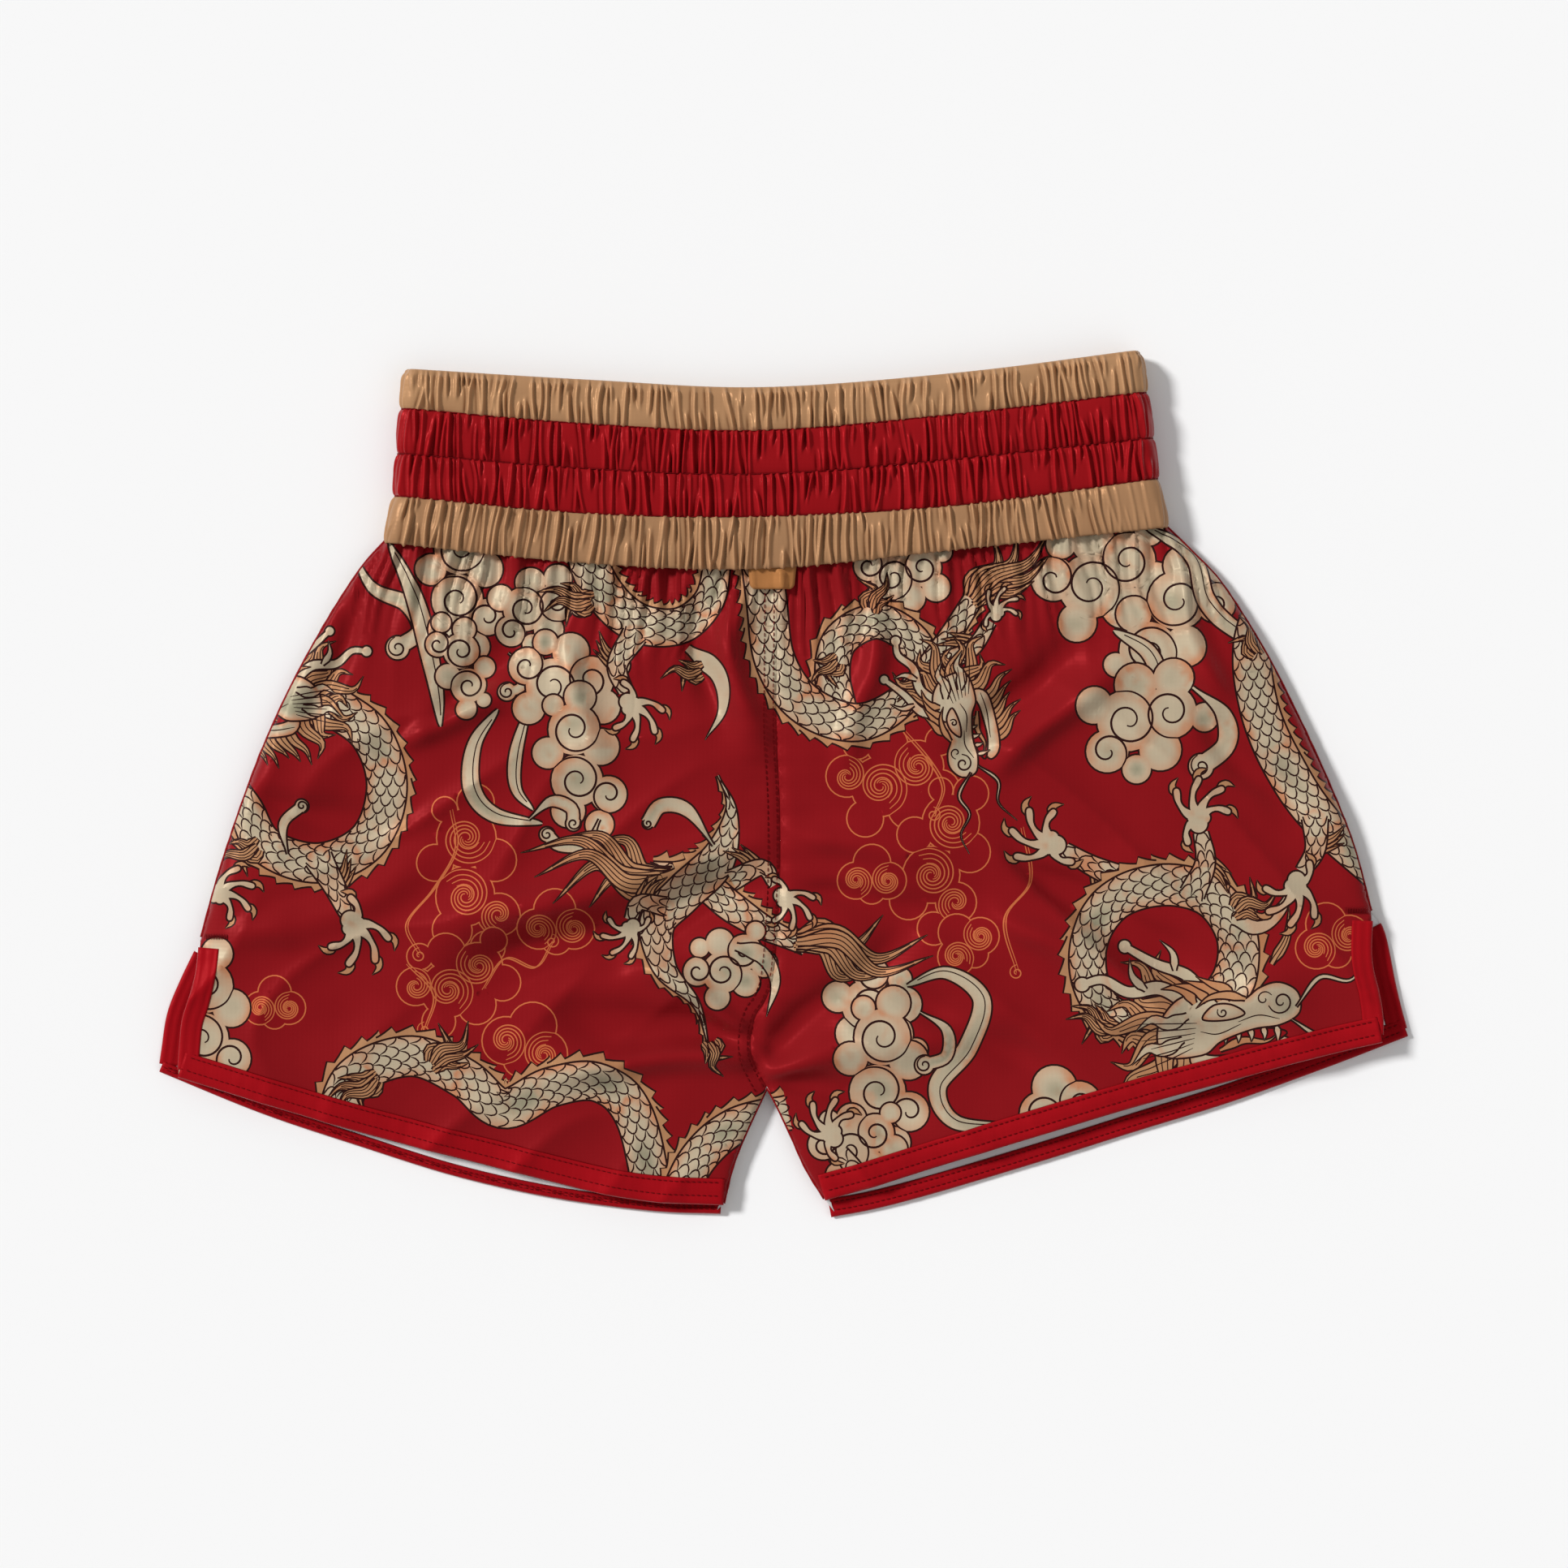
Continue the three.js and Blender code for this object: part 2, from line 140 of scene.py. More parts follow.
def smooth(t, low=0.0, high=1.0):
    """A rounded step from 0 at low to 1 at high."""
    t = np.clip((t - low) / (high - low), 0, 1)
    return t * t * (3 - 2 * t)


def distance(x, y, line):
    """How far each point is from a polyline."""
    best = np.full(np.shape(x), 1e9)
    for a, b in zip(line[:-1], line[1:]):
        d = b - a
        t = np.clip(((x - a[0]) * d[0] + (y - a[1]) * d[1]) / max(d @ d, 1e-9), 0, 1)
        best = np.minimum(best, (x - a[0] - t * d[0]) ** 2 + (y - a[1] - t * d[1]) ** 2)
    return np.sqrt(best)


def ripple(x, y, wave, seed, count=9, lean=None):
    """Smooth noise from about -1 to 1, of waves near one length. lean is their main direction."""
    rng = np.random.default_rng(seed)
    total = 0
    for _ in range(count):
        a = rng.uniform(0, TURN) if lean is None else lean + rng.normal(0, 0.35)
        k = TURN / (wave * rng.uniform(0.7, 1.4))
        total = total + np.sin(k * (x * math.cos(a) + y * math.sin(a)) + rng.uniform(0, TURN))
    return total / count * 1.6


def waist_y(k, x):
    """Where line k of the waistband is at x."""
    line = curve(WAIST[k], 6)
    return np.interp(x, line[:, 0], line[:, 1])


# ---------------------------------------------------------------- the lie of the cloth
SIDE_LINE = {s: curve(SIDE[s], 8) for s in SIDES}
INSEAM_LINE = {s: curve(INSEAM[s], 6) for s in SIDES}
CENTRE_LINE = curve(CENTRE, 6)
SEAM_Z = 6.2  # height of the side seams and inseams
SEAM_PLY = 0.8  # how far the back is below the front at a seam
BACK_Z = 1.65
FRONT_Z = 11.5
LOWEST_FRONT = 4.6  # valleys of the front flatten out above this
FOLD_RISE = 3.3
CREASE_RISE = 3.4
PUCKER_RISE = 3.5
SOFT_PUCKER_RISE = 4.6

# Folds: start, end, width and height. A negative height is a valley.
FOLDS = [
    ((-20, -52), (-150, -92), 15, -3.4),
    ((-26, -34), (-150, -66), 14, 2.6),
    ((-14, -120), (-92, -104), 13, -2.6),
    ((-16, -126), (-110, -128), 11, 2.2),
    ((-14, -122), (-66, -72), 10, 1.8),
    ((-10, -124), (54, -70), 11, -2.2),
    ((-4, -130), (90, -108), 12, 1.8),
    ((-6, -134), (60, -150), 10, -1.6),
    ((84, 18), (128, 62), 10, -2.6),
    ((100, 10), (150, 50), 10, 2.0),
    ((112, -40), (180, -84), 12, -2.8),
    ((104, -62), (176, -104), 12, 2.0),
    ((190, 30), (232, -10), 10, -1.8),
    ((-24, 92), (-18, 20), 9, 2.4),
    ((-40, 90), (-34, 40), 7, -2.0),
    ((-158, 34), (-118, 70), 9, -2.4),
    ((-172, 22), (-130, 44), 10, 1.8),
    ((-236, -8), (-176, -24), 11, -1.8),
    ((-240, -70), (-170, -44), 12, 1.8),
    ((150, -110), (236, -92), 13, 1.6),
    ((10, -20), (70, -34), 12, 1.4),
    ((12, -52), (84, -62), 11, -1.5),
    ((44, 70), (30, 10), 9, 1.6),
    ((180, 92), (196, 40), 9, 1.8),
    ((-196, 80), (-214, 30), 8, -1.6),
    ((-100, 60), (-84, 4), 10, 1.6),
    ((60, -96), (120, -130), 13, -1.6),
]


def folds(x, y):
    """The listed folds, which widen from their start to their end and wander a little."""
    z = 0
    for start, end, width, height in FOLDS:
        d = np.subtract(end, start).astype(float)
        size = np.linalg.norm(d)
        d /= size
        t = ((x - start[0]) * d[0] + (y - start[1]) * d[1]) / size
        off = (x - start[0]) * d[1] - (y - start[1]) * d[0] + 5 * ripple(x, y, 70, 5)
        spread = width * (0.52 + 0.36 * np.clip(t, 0, 1))
        z = z + height * np.exp(-((off / spread) ** 2)) * smooth(t, -0.25, 0.2) * (1 - smooth(t, 0.75, 1.3))
    return z


def crown(d, reach):
    """From 0 at an edge to 1 at reach from it, rounded like the side of a roll."""
    t = np.clip(d / reach, 0, 1)
    return np.sqrt(1 - (1 - t) ** 2)


def gathers(s, seed, pitch=4.4):
    """Uneven pleats along s, from 0 in their creases to 1."""
    rng = np.random.default_rng(seed)
    phase = s / pitch
    for wave, strength in ((31, 0.55), (17, 0.4), (9.5, 0.22)):
        phase = phase + strength * np.sin(TURN * s / wave + rng.uniform(0, TURN))
    tall = 0.72 + 0.28 * np.sin(TURN * s / 13.7 + rng.uniform(0, TURN))
    return tall * np.abs(np.sin(math.pi * phase))


def edges(x, y):
    """How far the cloth is from the rolled seams of each side, from 0 to 1."""
    roll = 1
    for s in SIDES:
        roll = roll * crown(distance(x, y, SIDE_LINE[s]), 9)
        roll = roll * crown(distance(x, y, INSEAM_LINE[s]), 7)
    return roll


def below_waist(x, y):
    """How far each point is below the seam with the waistband."""
    return np.maximum(waist_y(4, x) - y, 0)


def front_z(x, y):
    """Height of the front of the shorts."""
    low = below_waist(x, y)
    z = FRONT_Z + 0.9 * ripple(x, y, 95, 1) + 0.45 * ripple(x, y, 34, 2)
    z = z + FOLD_RISE * folds(x, y) * smooth(low, 0, 26)
    # The front comes down towards the hems.
    z = z - 3.2 * smooth(-y - 0.12 * np.abs(x), 60, 175)
    # Softer creases that spread outwards and down from the fork.
    for sign, lean, seed in ((-1, 1.87, 61), (1, 1.15, 62)):
        crease = (1 - np.abs(ripple(x, y, 74, seed, 6, lean))).clip(0) ** 2 - 0.4
        z = z + CREASE_RISE * crease * smooth(sign * (x + 4), 6, 50) * smooth(low, 20, 90)
    # Puckers that run down from the waistband and fade.
    fan = x * (1 - 0.0012 * low) + 3 * ripple(x, y, 40, 3)
    pucker = gathers(fan, 77, 8.5) - 0.5
    soft = gathers(fan * 0.93 + 8, 78, 17) - 0.5
    z = z + PUCKER_RISE * pucker * np.exp(-low / 14) + SOFT_PUCKER_RISE * soft * np.exp(-((low / 38) ** 2))
    # The centre seam sits in a slight groove and puckers the cloth beside it.
    off = distance(x, y, CENTRE_LINE)
    z = z - 1.5 * np.exp(-((off / 2.6) ** 2))
    z = z + 0.45 * np.exp(-off / 8) * np.sin(TURN * y / 11 + 2 * ripple(x, y, 30, 4))
    z = z + 0.9 * np.sign(x + 10) * np.exp(-off / 9) * smooth(-y, 90, 122)
    # A valley flattens out before it reaches the back of the shorts.
    soften = 1.2
    z = LOWEST_FRONT + soften * np.logaddexp(0, (z - LOWEST_FRONT) / soften)
    return SEAM_Z + (z - SEAM_Z) * edges(x, y)


def back_z(x, y):
    """Height of the back of the shorts, which lies on the floor."""
    seam = SEAM_Z - SEAM_PLY
    return seam + (BACK_Z + 0.35 * ripple(x, y, 80, 6) - seam) * edges(x, y)


# ---------------------------------------------------------------- the print, drawn as flat shapes
# Shapes are painted in order, later ones over earlier ones.
GROUND, FILL, LINE, GOLD, HAIR = range(5)
ART = []
DEPTHS = []  # how far inside a filled shape each point is, for the airbrushed shading
OUTLINE = 0.46  # half the width of a dark outline
GROWTH = ((OUTLINE, LINE), (-OUTLINE, FILL))  # an outline is a wider shape under the filled one
SCALE_PITCH = 4.4
TOOTH_PITCH = 6.6


def deepen(points, reach, inner):
    """Records a filled shape: its points, how far it reaches from them, and its depth at x, y."""
    points = np.asarray(points, float)
    DEPTHS.append((points.min(0) - reach, points.max(0) + reach, inner))


def paint(kind, polygon):
    """Adds one filled polygon to the print."""
    ART.append((kind, np.asarray(polygon, float)))


def ribbon(line, half):
    """The polygon round a line, with half widths to each side of it."""
    n = normals(line)
    half = np.broadcast_to(half, len(line))[:, None]
    return np.vstack([line + n * half, (line - n * half)[::-1]])


def stroke(points, width, kind=LINE, thin=0.25):
    """A line that thins towards its ends."""
    line = curve(points, 1.5)
    t = np.linspace(0, 1, len(line))
    half = width / 2 * (thin + (1 - thin) * np.sin(math.pi * np.clip(t, 0.02, 0.98)) ** 0.5)
    paint(kind, ribbon(line, half))


def outlined(line, half, kind=FILL, least=-1.0, ink=OUTLINE):
    """A filled ribbon with a dark outline. least is the smallest half width of its filling."""
    paint(LINE, ribbon(line, half + ink))
    paint(kind, ribbon(line, np.maximum(half - OUTLINE, least)))


def leaf(points, width, kind=FILL, step=1.8, tip=1.0):
    """A filled shape that tapers to a point, with a dark outline."""
    line = curve(points, step)
    t = np.linspace(0, 1, len(line))
    half = width / 2 * np.maximum(1 - t ** (1.6 * tip), 0) * (0.4 + 0.6 * smooth(t, 0, 0.25))
    outlined(line, half, kind, 0.02, OUTLINE * (1 - 0.4 * t))


def merge(shapes):
    """Filled shapes with one outline. A ribbon is a line and half widths, a disc is x, y and radius."""
    for grow, ink in GROWTH:
        for shape in shapes:
            if len(shape) == 3:
                disc(shape[0], shape[1], shape[2] + grow, ink, 26)
            else:
                paint(ink, ribbon(shape[0], np.maximum(shape[1] + grow, 0.03)))


def lock(points, width, lines=3):
    """A lock of hair: a tapering shape with fine lines along it."""
    leaf(points, width, HAIR, 2.2)
    line = curve(points, 2.2)
    n = normals(line)
    t = np.linspace(0, 1, len(line))
    for k in range(lines):
        f = (k + 1) / (lines + 1) * 2 - 1
        hair = line + n * (f * 0.5 * width * (1 - t ** 1.6))[:, None]
        last = int(len(hair) * (0.88 - 0.16 * (k % 2)))
        paint(LINE, ribbon(hair[:max(last, 3)], 0.26))


def blob(points, kind=FILL, step=1.8):
    """A filled closed shape with an outline."""
    edge = curve(points, step, closed=True)
    area = np.sum(edge[:, 0] * np.roll(edge[:, 1], -1) - edge[:, 1] * np.roll(edge[:, 0], -1))
    n = normals(edge, closed=True) * (-1 if area > 0 else 1)
    paint(LINE, edge + n * OUTLINE)
    paint(kind, edge - n * OUTLINE)
    loop = np.vstack([edge, edge[:1]])

    def inner(x, y):
        return np.where(inside(np.column_stack([x, y]), edge), distance(x, y, loop) / 5, -1)

    deepen(edge, 0, inner)


def disc(x, y, r, kind, count=18):
    """A filled circle."""
    a = np.linspace(0, TURN, count, endpoint=False)
    paint(kind, np.column_stack([x + r * np.cos(a), y + r * np.sin(a)]))


class Place:
    """Puts a motif drawn about its own origin onto the cloth."""

    def __init__(self, x, y, angle=0, size=1.0, flip=1):
        a = math.radians(angle)
        self.shift = np.array([x, y], float)
        self.matrix = size * np.array([[math.cos(a), math.sin(a)], [-math.sin(a), math.cos(a)]])
        self.flip = np.array([1, flip], float)

    def __call__(self, points):
        return (np.asarray(points, float) * self.flip) @ self.matrix + self.shift


def unit(degrees):
    """The unit vector at an angle, and the one a quarter turn on from it."""
    a = math.radians(degrees)
    out = np.array([math.cos(a), math.sin(a)])
    return out, np.array([-out[1], out[0]])


def spiral(place, x, y, r, start, turns, width, kind=LINE, way=1):
    """A curl that winds inwards from radius r."""
    a = math.radians(start) + way * np.linspace(0, TURN * turns, int(10 * turns) + 3)
    radius = r * (1 - 0.84 * np.linspace(0, 1, len(a)) ** 0.85)
    stroke(place(np.column_stack([x + radius * np.cos(a), y + radius * np.sin(a)])), width, kind, 0.5)


def scales(line, half):
    """A net of rounded scales across a body."""
    n = normals(line)
    s = lengths(line)
    along = np.gradient(line, axis=0)
    along /= np.linalg.norm(along, axis=1)[:, None]
    for row, at in enumerate(np.arange(1.0, s[-1] + 0.2, SCALE_PITCH)):
        centre, out, fore = (np.array([np.interp(at, s, f[:, k]) for k in (0, 1)]) for f in (line, n, along))
        w = float(np.interp(at, s, half)) - OUTLINE
        count = max(1, round(2 * w / 5.2))
        q = np.linspace(0, count, 6 * count + 1)
        bump = np.abs(np.sin(math.pi * (q + 0.5 * (row % 2)))) ** 0.62
        across = -w + 2 * w * q / count
        arc = centre + np.outer(across, out) + np.outer(4.7 * bump - 2.3, fore)
        paint(LINE, ribbon(arc, 0.38))


def crest(line, half, side):
    """A smooth fin along the back, with teeth that lean towards the tail."""
    even = resample(line, 1.1)
    s = lengths(even)
    n = normals(even) * side
    base = np.interp(s, lengths(line), half)
    tall = (2.0 + 3.0 * (s % TOOTH_PITCH / TOOTH_PITCH) ** 1.7) * np.clip(base / 7, 0.45, 1)
    for grow, kind in ((OUTLINE, LINE), (-OUTLINE, HAIR)):
        edge = even + n * (base + tall + grow)[:, None]
        paint(kind, np.vstack([even + n * (base - 1)[:, None], edge[::-1]]))


def body(points, width=18.0, end=0.45, side=1, start=1.0):
    """A scaly body, painted in short lengths so that a loop can pass over itself."""
    line = resample(curve(points, 2.2), SCALE_PITCH / 2)
    t = lengths(line) / lengths(line)[-1]
    half = width / 2 * (1 - (1 - end) * smooth(t, 0.45, 1)) * (start + (1 - start) * smooth(t, 0, 0.35))
    chunk = 20
    for i in range(0, len(line) - 3, chunk):
        j = min(i + chunk + 2, len(line))
        if len(line) - j < 4:
            j = len(line)
        part, h = line[i:j], half[i:j]
        crest(part, h, side)
        outlined(part, h)
        scales(part, h)
        reach = float(h.mean())
        deepen(part, reach, lambda x, y, part=part, reach=reach: 1 - distance(x, y, part) / reach)
        if j == len(line):
            break


def limb(points, thick=11.0, thin=5.5, side=1):
    """A scaly leg with a tuft behind its joint."""
    line = resample(curve(points, 2.0), SCALE_PITCH / 2)
    half = np.linspace(thick / 2, thin / 2, len(line))
    middle = len(line) // 2
    out = normals(line)[middle] * side
    along = line[middle] - line[middle - 1]
    for k in (-1, 0, 1):
        tuft = ((0, k), (7, 1.5 + k), (13, 4 + 2 * k))
        lock([line[middle] + out * up - along * back for up, back in tuft], 4.4, 1)
    outlined(line, half)
    scales(line, half)
    deepen(line, float(half.max()), lambda x, y: 1 - distance(x, y, line) / half.mean())


def claw(x, y, angle, size=1.0):
    """A foot with four spread toes and one behind, each with a hooked nail."""
    place = Place(x, y, angle, size)
    pads = ((-2, 0, 4.0), (0.6, 2.2, 2.8), (0.6, -2.2, 2.8))
    foot = [(*place([(px, py)])[0], r * size) for px, py, r in pads]
    for turn, reach in ((-74, 15), (-36, 19), (2, 20), (40, 18), (158, 13)):
        out, across = unit(turn)
        if turn > 100:
            across = -across  # the toe behind curls the other way
        nail = ((0.74, 1.6), (0.98, 0.2), (1.05, -3.8))
        leaf(place([out * reach * f + across * g for f, g in nail]), 3.8 * size, HAIR, 1.4, 1.3)
        bones = ((0.3, 2.4), (0.58, 2.4), (0.82, 0.2))
        toe = curve(place([out * 0.5] + [out * reach * f + across * g for f, g in bones]), 1.6)
        knuckles = 0.85 + 0.2 * np.sin(np.linspace(0, 2.6 * math.pi, len(toe)))
        foot.append((toe, np.linspace(2.3, 1.5, len(toe)) * knuckles * size))
        foot.append((*toe[-1], 1.5 * size))
    merge(foot)
    deepen([(x, y)], 20 * size, lambda px, py: 0.55 - 0.02 * np.hypot(px - x, py - y))


def plume(x, y, angle, reach, count, spread):
    """Long locks that stream from a tail or a neck."""
    place = Place(x, y, angle)
    rng = np.random.default_rng(int(abs(x) * 7 + abs(y) * 13))
    # The outer locks are drawn first, and the middle one over them.
    for i in sorted(range(count), key=lambda i: -abs(i - (count - 1) / 2)):
        f = i / (count - 1) * 2 - 1
        d = reach * (1 - 0.36 * f * f) * rng.uniform(0.88, 1.08)
        bow = 0.09 * reach * rng.uniform(0.6, 1.3)
        out, across = unit(f * spread)
        hair = [across * f * 3, out * d * 0.3 + across * (bow + f * 2), out * d * 0.64 - across * bow * 0.5,
                out * d + across * (bow * 1.8 + f * 4)]
        lock(place(hair), min(9.5, 4 + 0.1 * reach))


def horn(points, width):
    """A smooth horn with a round end."""
    line = curve(points, 1.8)
    half = width / 2 * np.linspace(1.3, 0.7, len(line))
    for grow, kind in GROWTH:
        disc(*line[-1], 0.62 * width + grow, kind)
        paint(kind, ribbon(line, half + grow))


def head(x, y, angle, size=1.0, flip=1):
    """A horned head in profile, looking along its own +x."""
    place = Place(x, y, angle, size, flip)

    def at(*points):
        return place(points)

    def feather(width, *points, kind=FILL):
        """A leaf in the head's own size."""
        leaf(place(points), width * size, kind)

    # The mane, the horns and the beard.
    for k, turn in enumerate(np.linspace(108, 250, 10)):
        out, across = unit(turn)
        across = across * (1 if k % 2 else -1)
        d = 28 + 5 * math.sin(2.1 * k)
        hair = ((0.45, 2.6), (0.8, -1.8), (1, 3))
        lock(place([out * 3] + [out * d * far + across * aside for far, aside in hair]), 8.0 * size, 2)
    horn(at((2, 8), (-8, 15), (-19, 15), (-27, 20), (-34, 19)), 4.2 * size)
    feather(3.6, (-13, 15), (-17, 20), (-17, 26))
    horn(at((6, 10), (2, 18), (-8, 23), (-18, 30)), 3.8 * size)
    feather(3.2, (-2, 20), (-2, 26), (-6, 31))
    for k in range(5):
        jaw = 3 + 5 * k
        beard = at((jaw + 3, -11), (jaw, -18), (jaw - 5, -23 - k % 2), (jaw - 7, -30 + 2 * (k % 3)))
        lock(beard, 5.4 * size, 1)
    # The lower jaw, the mouth with its tongue and teeth, and the upper jaw over them.
    blob(at((0, -9), (10, -8), (20, -7.5), (29, -5), (34, -7), (30, -12.5), (16, -15.5), (3, -15)))
    blob(at((4, -7), (14, -3), (26, -2), (33, -4.5), (22, -9), (8, -9.5)), GROUND)
    feather(3.2, (10, -8), (18, -5.5), (26, -6.5), (31, -3.5), kind=HAIR)
    for k in range(5):
        tooth = 11 + 4.4 * k
        fang = at((tooth + 1, -1.6), (tooth + 1.4, -4), (tooth + 1, -6.4 - 1.6 * (k == 4)))
        leaf(fang, 2.6 * size, FILL, 1.2)
    blob(at((-9, -8), (-10, 3), (-4, 10), (5, 12), (12, 9.5), (19, 8.4), (25, 12), (32, 13), (38, 9),
            (38, 2), (31, -1.4), (22, -2.0), (11, -5), (4, -9)))
    # The brow, the ears and the wrinkles of the cheek.
    for k in range(4):
        brow = 3 + 4.2 * k
        feather(4.4, (brow, 8.6), (brow - 2, 12.5), (brow - 6, 14.5), (brow - 11, 14.6 + k), kind=HAIR)
    feather(5.6, (0, 5), (-7, 3), (-12, 5), (-18, 1))
    feather(5.6, (-2, -3), (-9, -6), (-14, -5), (-20, -10))
    for k in range(6):
        low = -9 + 2.4 * k
        stroke(at((1 + 0.4 * k, 0.7 * low), (-6, low), (-13 - k % 2 * 3, low * 1.25)), 0.6)
    # The eye, the nostrils, the lips and the whiskers.
    blob(at((5, 3.2), (9, 7.4), (15, 7.2), (19.4, 3.6), (13, 2)), step=1.3)
    spiral(place, 12, 4.8, 2.0, 140, 1.2, 0.8)
    feather(3.4, (20, 8.6), (14, 10.4), (8, 10), (3, 7), kind=HAIR)
    spiral(place, 32, 6.4, 4.6, 190, 1.4, 0.9)
    spiral(place, 26, 8, 3.0, 20, 1.0, 0.7)
    stroke(at((17, 1), (24, 2.6), (31, 0.6)), 0.6)
    stroke(at((4, -1), (10, -2.4), (18, 0.2)), 0.6)
    stroke(at((2, -12), (12, -12.4), (24, -10)), 0.6)
    feather(1.9, (37, 4), (46, 13), (56, 11), (64, 18), (74, 17))
    feather(1.9, (35, 0), (45, -7), (55, -4), (66, -10))


# Each cloud is a run of lobes: x, y and radius.
LOBES = {
    "bank": [(-5, 0, 11.5), (10, 5, 10), (-17, 6, 8), (0, 15, 8), (17, -5, 7.5), (4, -10, 8), (-13, -11, 7),
             (20, 13, 5.5), (-11, 17, 5.5)],
    "column": [(0, 15, 10.5), (-3, -5, 10.5), (-12, 8, 6.5), (9, 6, 7.5), (8, -13, 7.5), (-9, -16, 7),
               (5, 27, 6.5), (2, -24, 6), (-6, 26, 4.5)],
    "head": [(-8, 0, 9.5), (8, 0, 9.5), (0, 9, 9.5), (0, -5, 7)],
}
# A curl grows from the notch between two lobes, round the first: both lobes and the curl's turns.
CURLS = {
    "bank": [(0, 5, 1.6), (1, 3, 1.5), (2, 8, 1.2)],
    "column": [(0, 3, 1.55), (1, 2, 1.55), (4, 7, 1.2)],
    "head": [(0, 3, 1.4), (1, 2, 1.5)],
}


def notch(lobes, i, j):
    """Where the outlines of two lobes cross, as an angle about the first, and the way into the second."""
    (xi, yi, ri), (xj, yj, rj) = lobes[i], lobes[j]
    apart = math.hypot(xj - xi, yj - yi)
    to = math.atan2(yj - yi, xj - xi)
    wide = math.acos((ri * ri + apart * apart - rj * rj) / (2 * ri * apart))
    middle = np.mean(lobes, axis=0)[:2]
    found = []
    for angle, way in ((to + wide, -1), (to - wide, 1)):
        point = np.array([xi + ri * math.cos(angle), yi + ri * math.sin(angle)])
        found.append((float(np.linalg.norm(point - middle)), math.degrees(angle), way))
    return max(found)[1:]


def cloud(x, y, shape, angle, size, flip=1):
    """A filled cloud with curls."""
    place = Place(x, y, angle, size, flip)
    lobes = LOBES[shape]
    middles = [(*place([(lx, ly)])[0], r * size) for lx, ly, r in lobes]
    merge(middles)
    for i, j, turns in CURLS[shape]:
        start, way = notch(lobes, i, j)
        spiral(place, *lobes[i], start, turns, 1.05, LINE, way)
    deepen([m[:2] for m in middles], 12 * size,
           lambda x, y: np.max([1 - np.hypot(x - a, y - b) / r for a, b, r in middles], axis=0))


def line_cloud(x, y, shape, angle, size):
    """A cloud drawn in fine gold line only, with close-wound curls."""
    place = Place(x, y, angle, size)
    lobes = LOBES[shape]
    for grow, kind in ((0.3, GOLD), (-0.3, GROUND)):
        for lx, ly, r in lobes:
            disc(*place([(lx, ly)])[0], r * size + grow, kind, 26)
    for i, j, turns in CURLS[shape]:
        start, way = notch(lobes, i, j)
        cx, cy, r = lobes[i]
        for share, less in ((1.0, 0), (0.8, 0.1), (0.62, 0.25), (0.44, 0.45)):
            spiral(place, cx, cy, r * share, start + 30 * way * (1 - share), turns - less, 0.62, GOLD, way)


def scarf(points, width):
    """A floating ribbon with a line along its fold."""
    line = curve(points, 1.8)
    t = np.linspace(0, 1, len(line))
    half = width / 2 * (0.14 + 0.86 * np.sin(math.pi * t) ** 0.7)
    outlined(line, half, least=0.05)
    deepen(line, width / 2, lambda x, y: 1 - 2 * distance(x, y, line) / width)
    n = normals(line) * (0.28 * half)[:, None]
    paint(LINE, ribbon((line + n)[3:-3], 0.27))


def curled(points, width, r, way=1):
    """A ribbon that flows into a curl of radius r."""
    line = curve(points, 1.8)
    half = width / 2 * (0.2 + 0.8 * smooth(np.linspace(0, 1, len(line)), 0, 0.6))
    x, y = line[-1]
    merge([(line, half), (x, y, r)])

    def inner(px, py):
        return np.maximum(1 - 2 * distance(px, py, line) / width, 1 - np.hypot(px - x, py - y) / r)

    deepen(line, r, inner)
    toward = math.degrees(math.atan2(*(line[-3] - line[-1])[::-1]))
    spiral(Place(x, y), 0, 0, r * 0.9, toward + 70 * way, 1.35, 0.9, LINE, way)


def strand(points, way=1):
    """A long gold line that ends in a small curl."""
    width = 0.7
    stroke(points, width, GOLD)
    stroke(np.asarray(points) + (1.1, 0.5), width * 0.8, GOLD)
    spiral(Place(*points[-1]), 0, 0, 3.6, 90, 1.5, 0.6, GOLD, way)


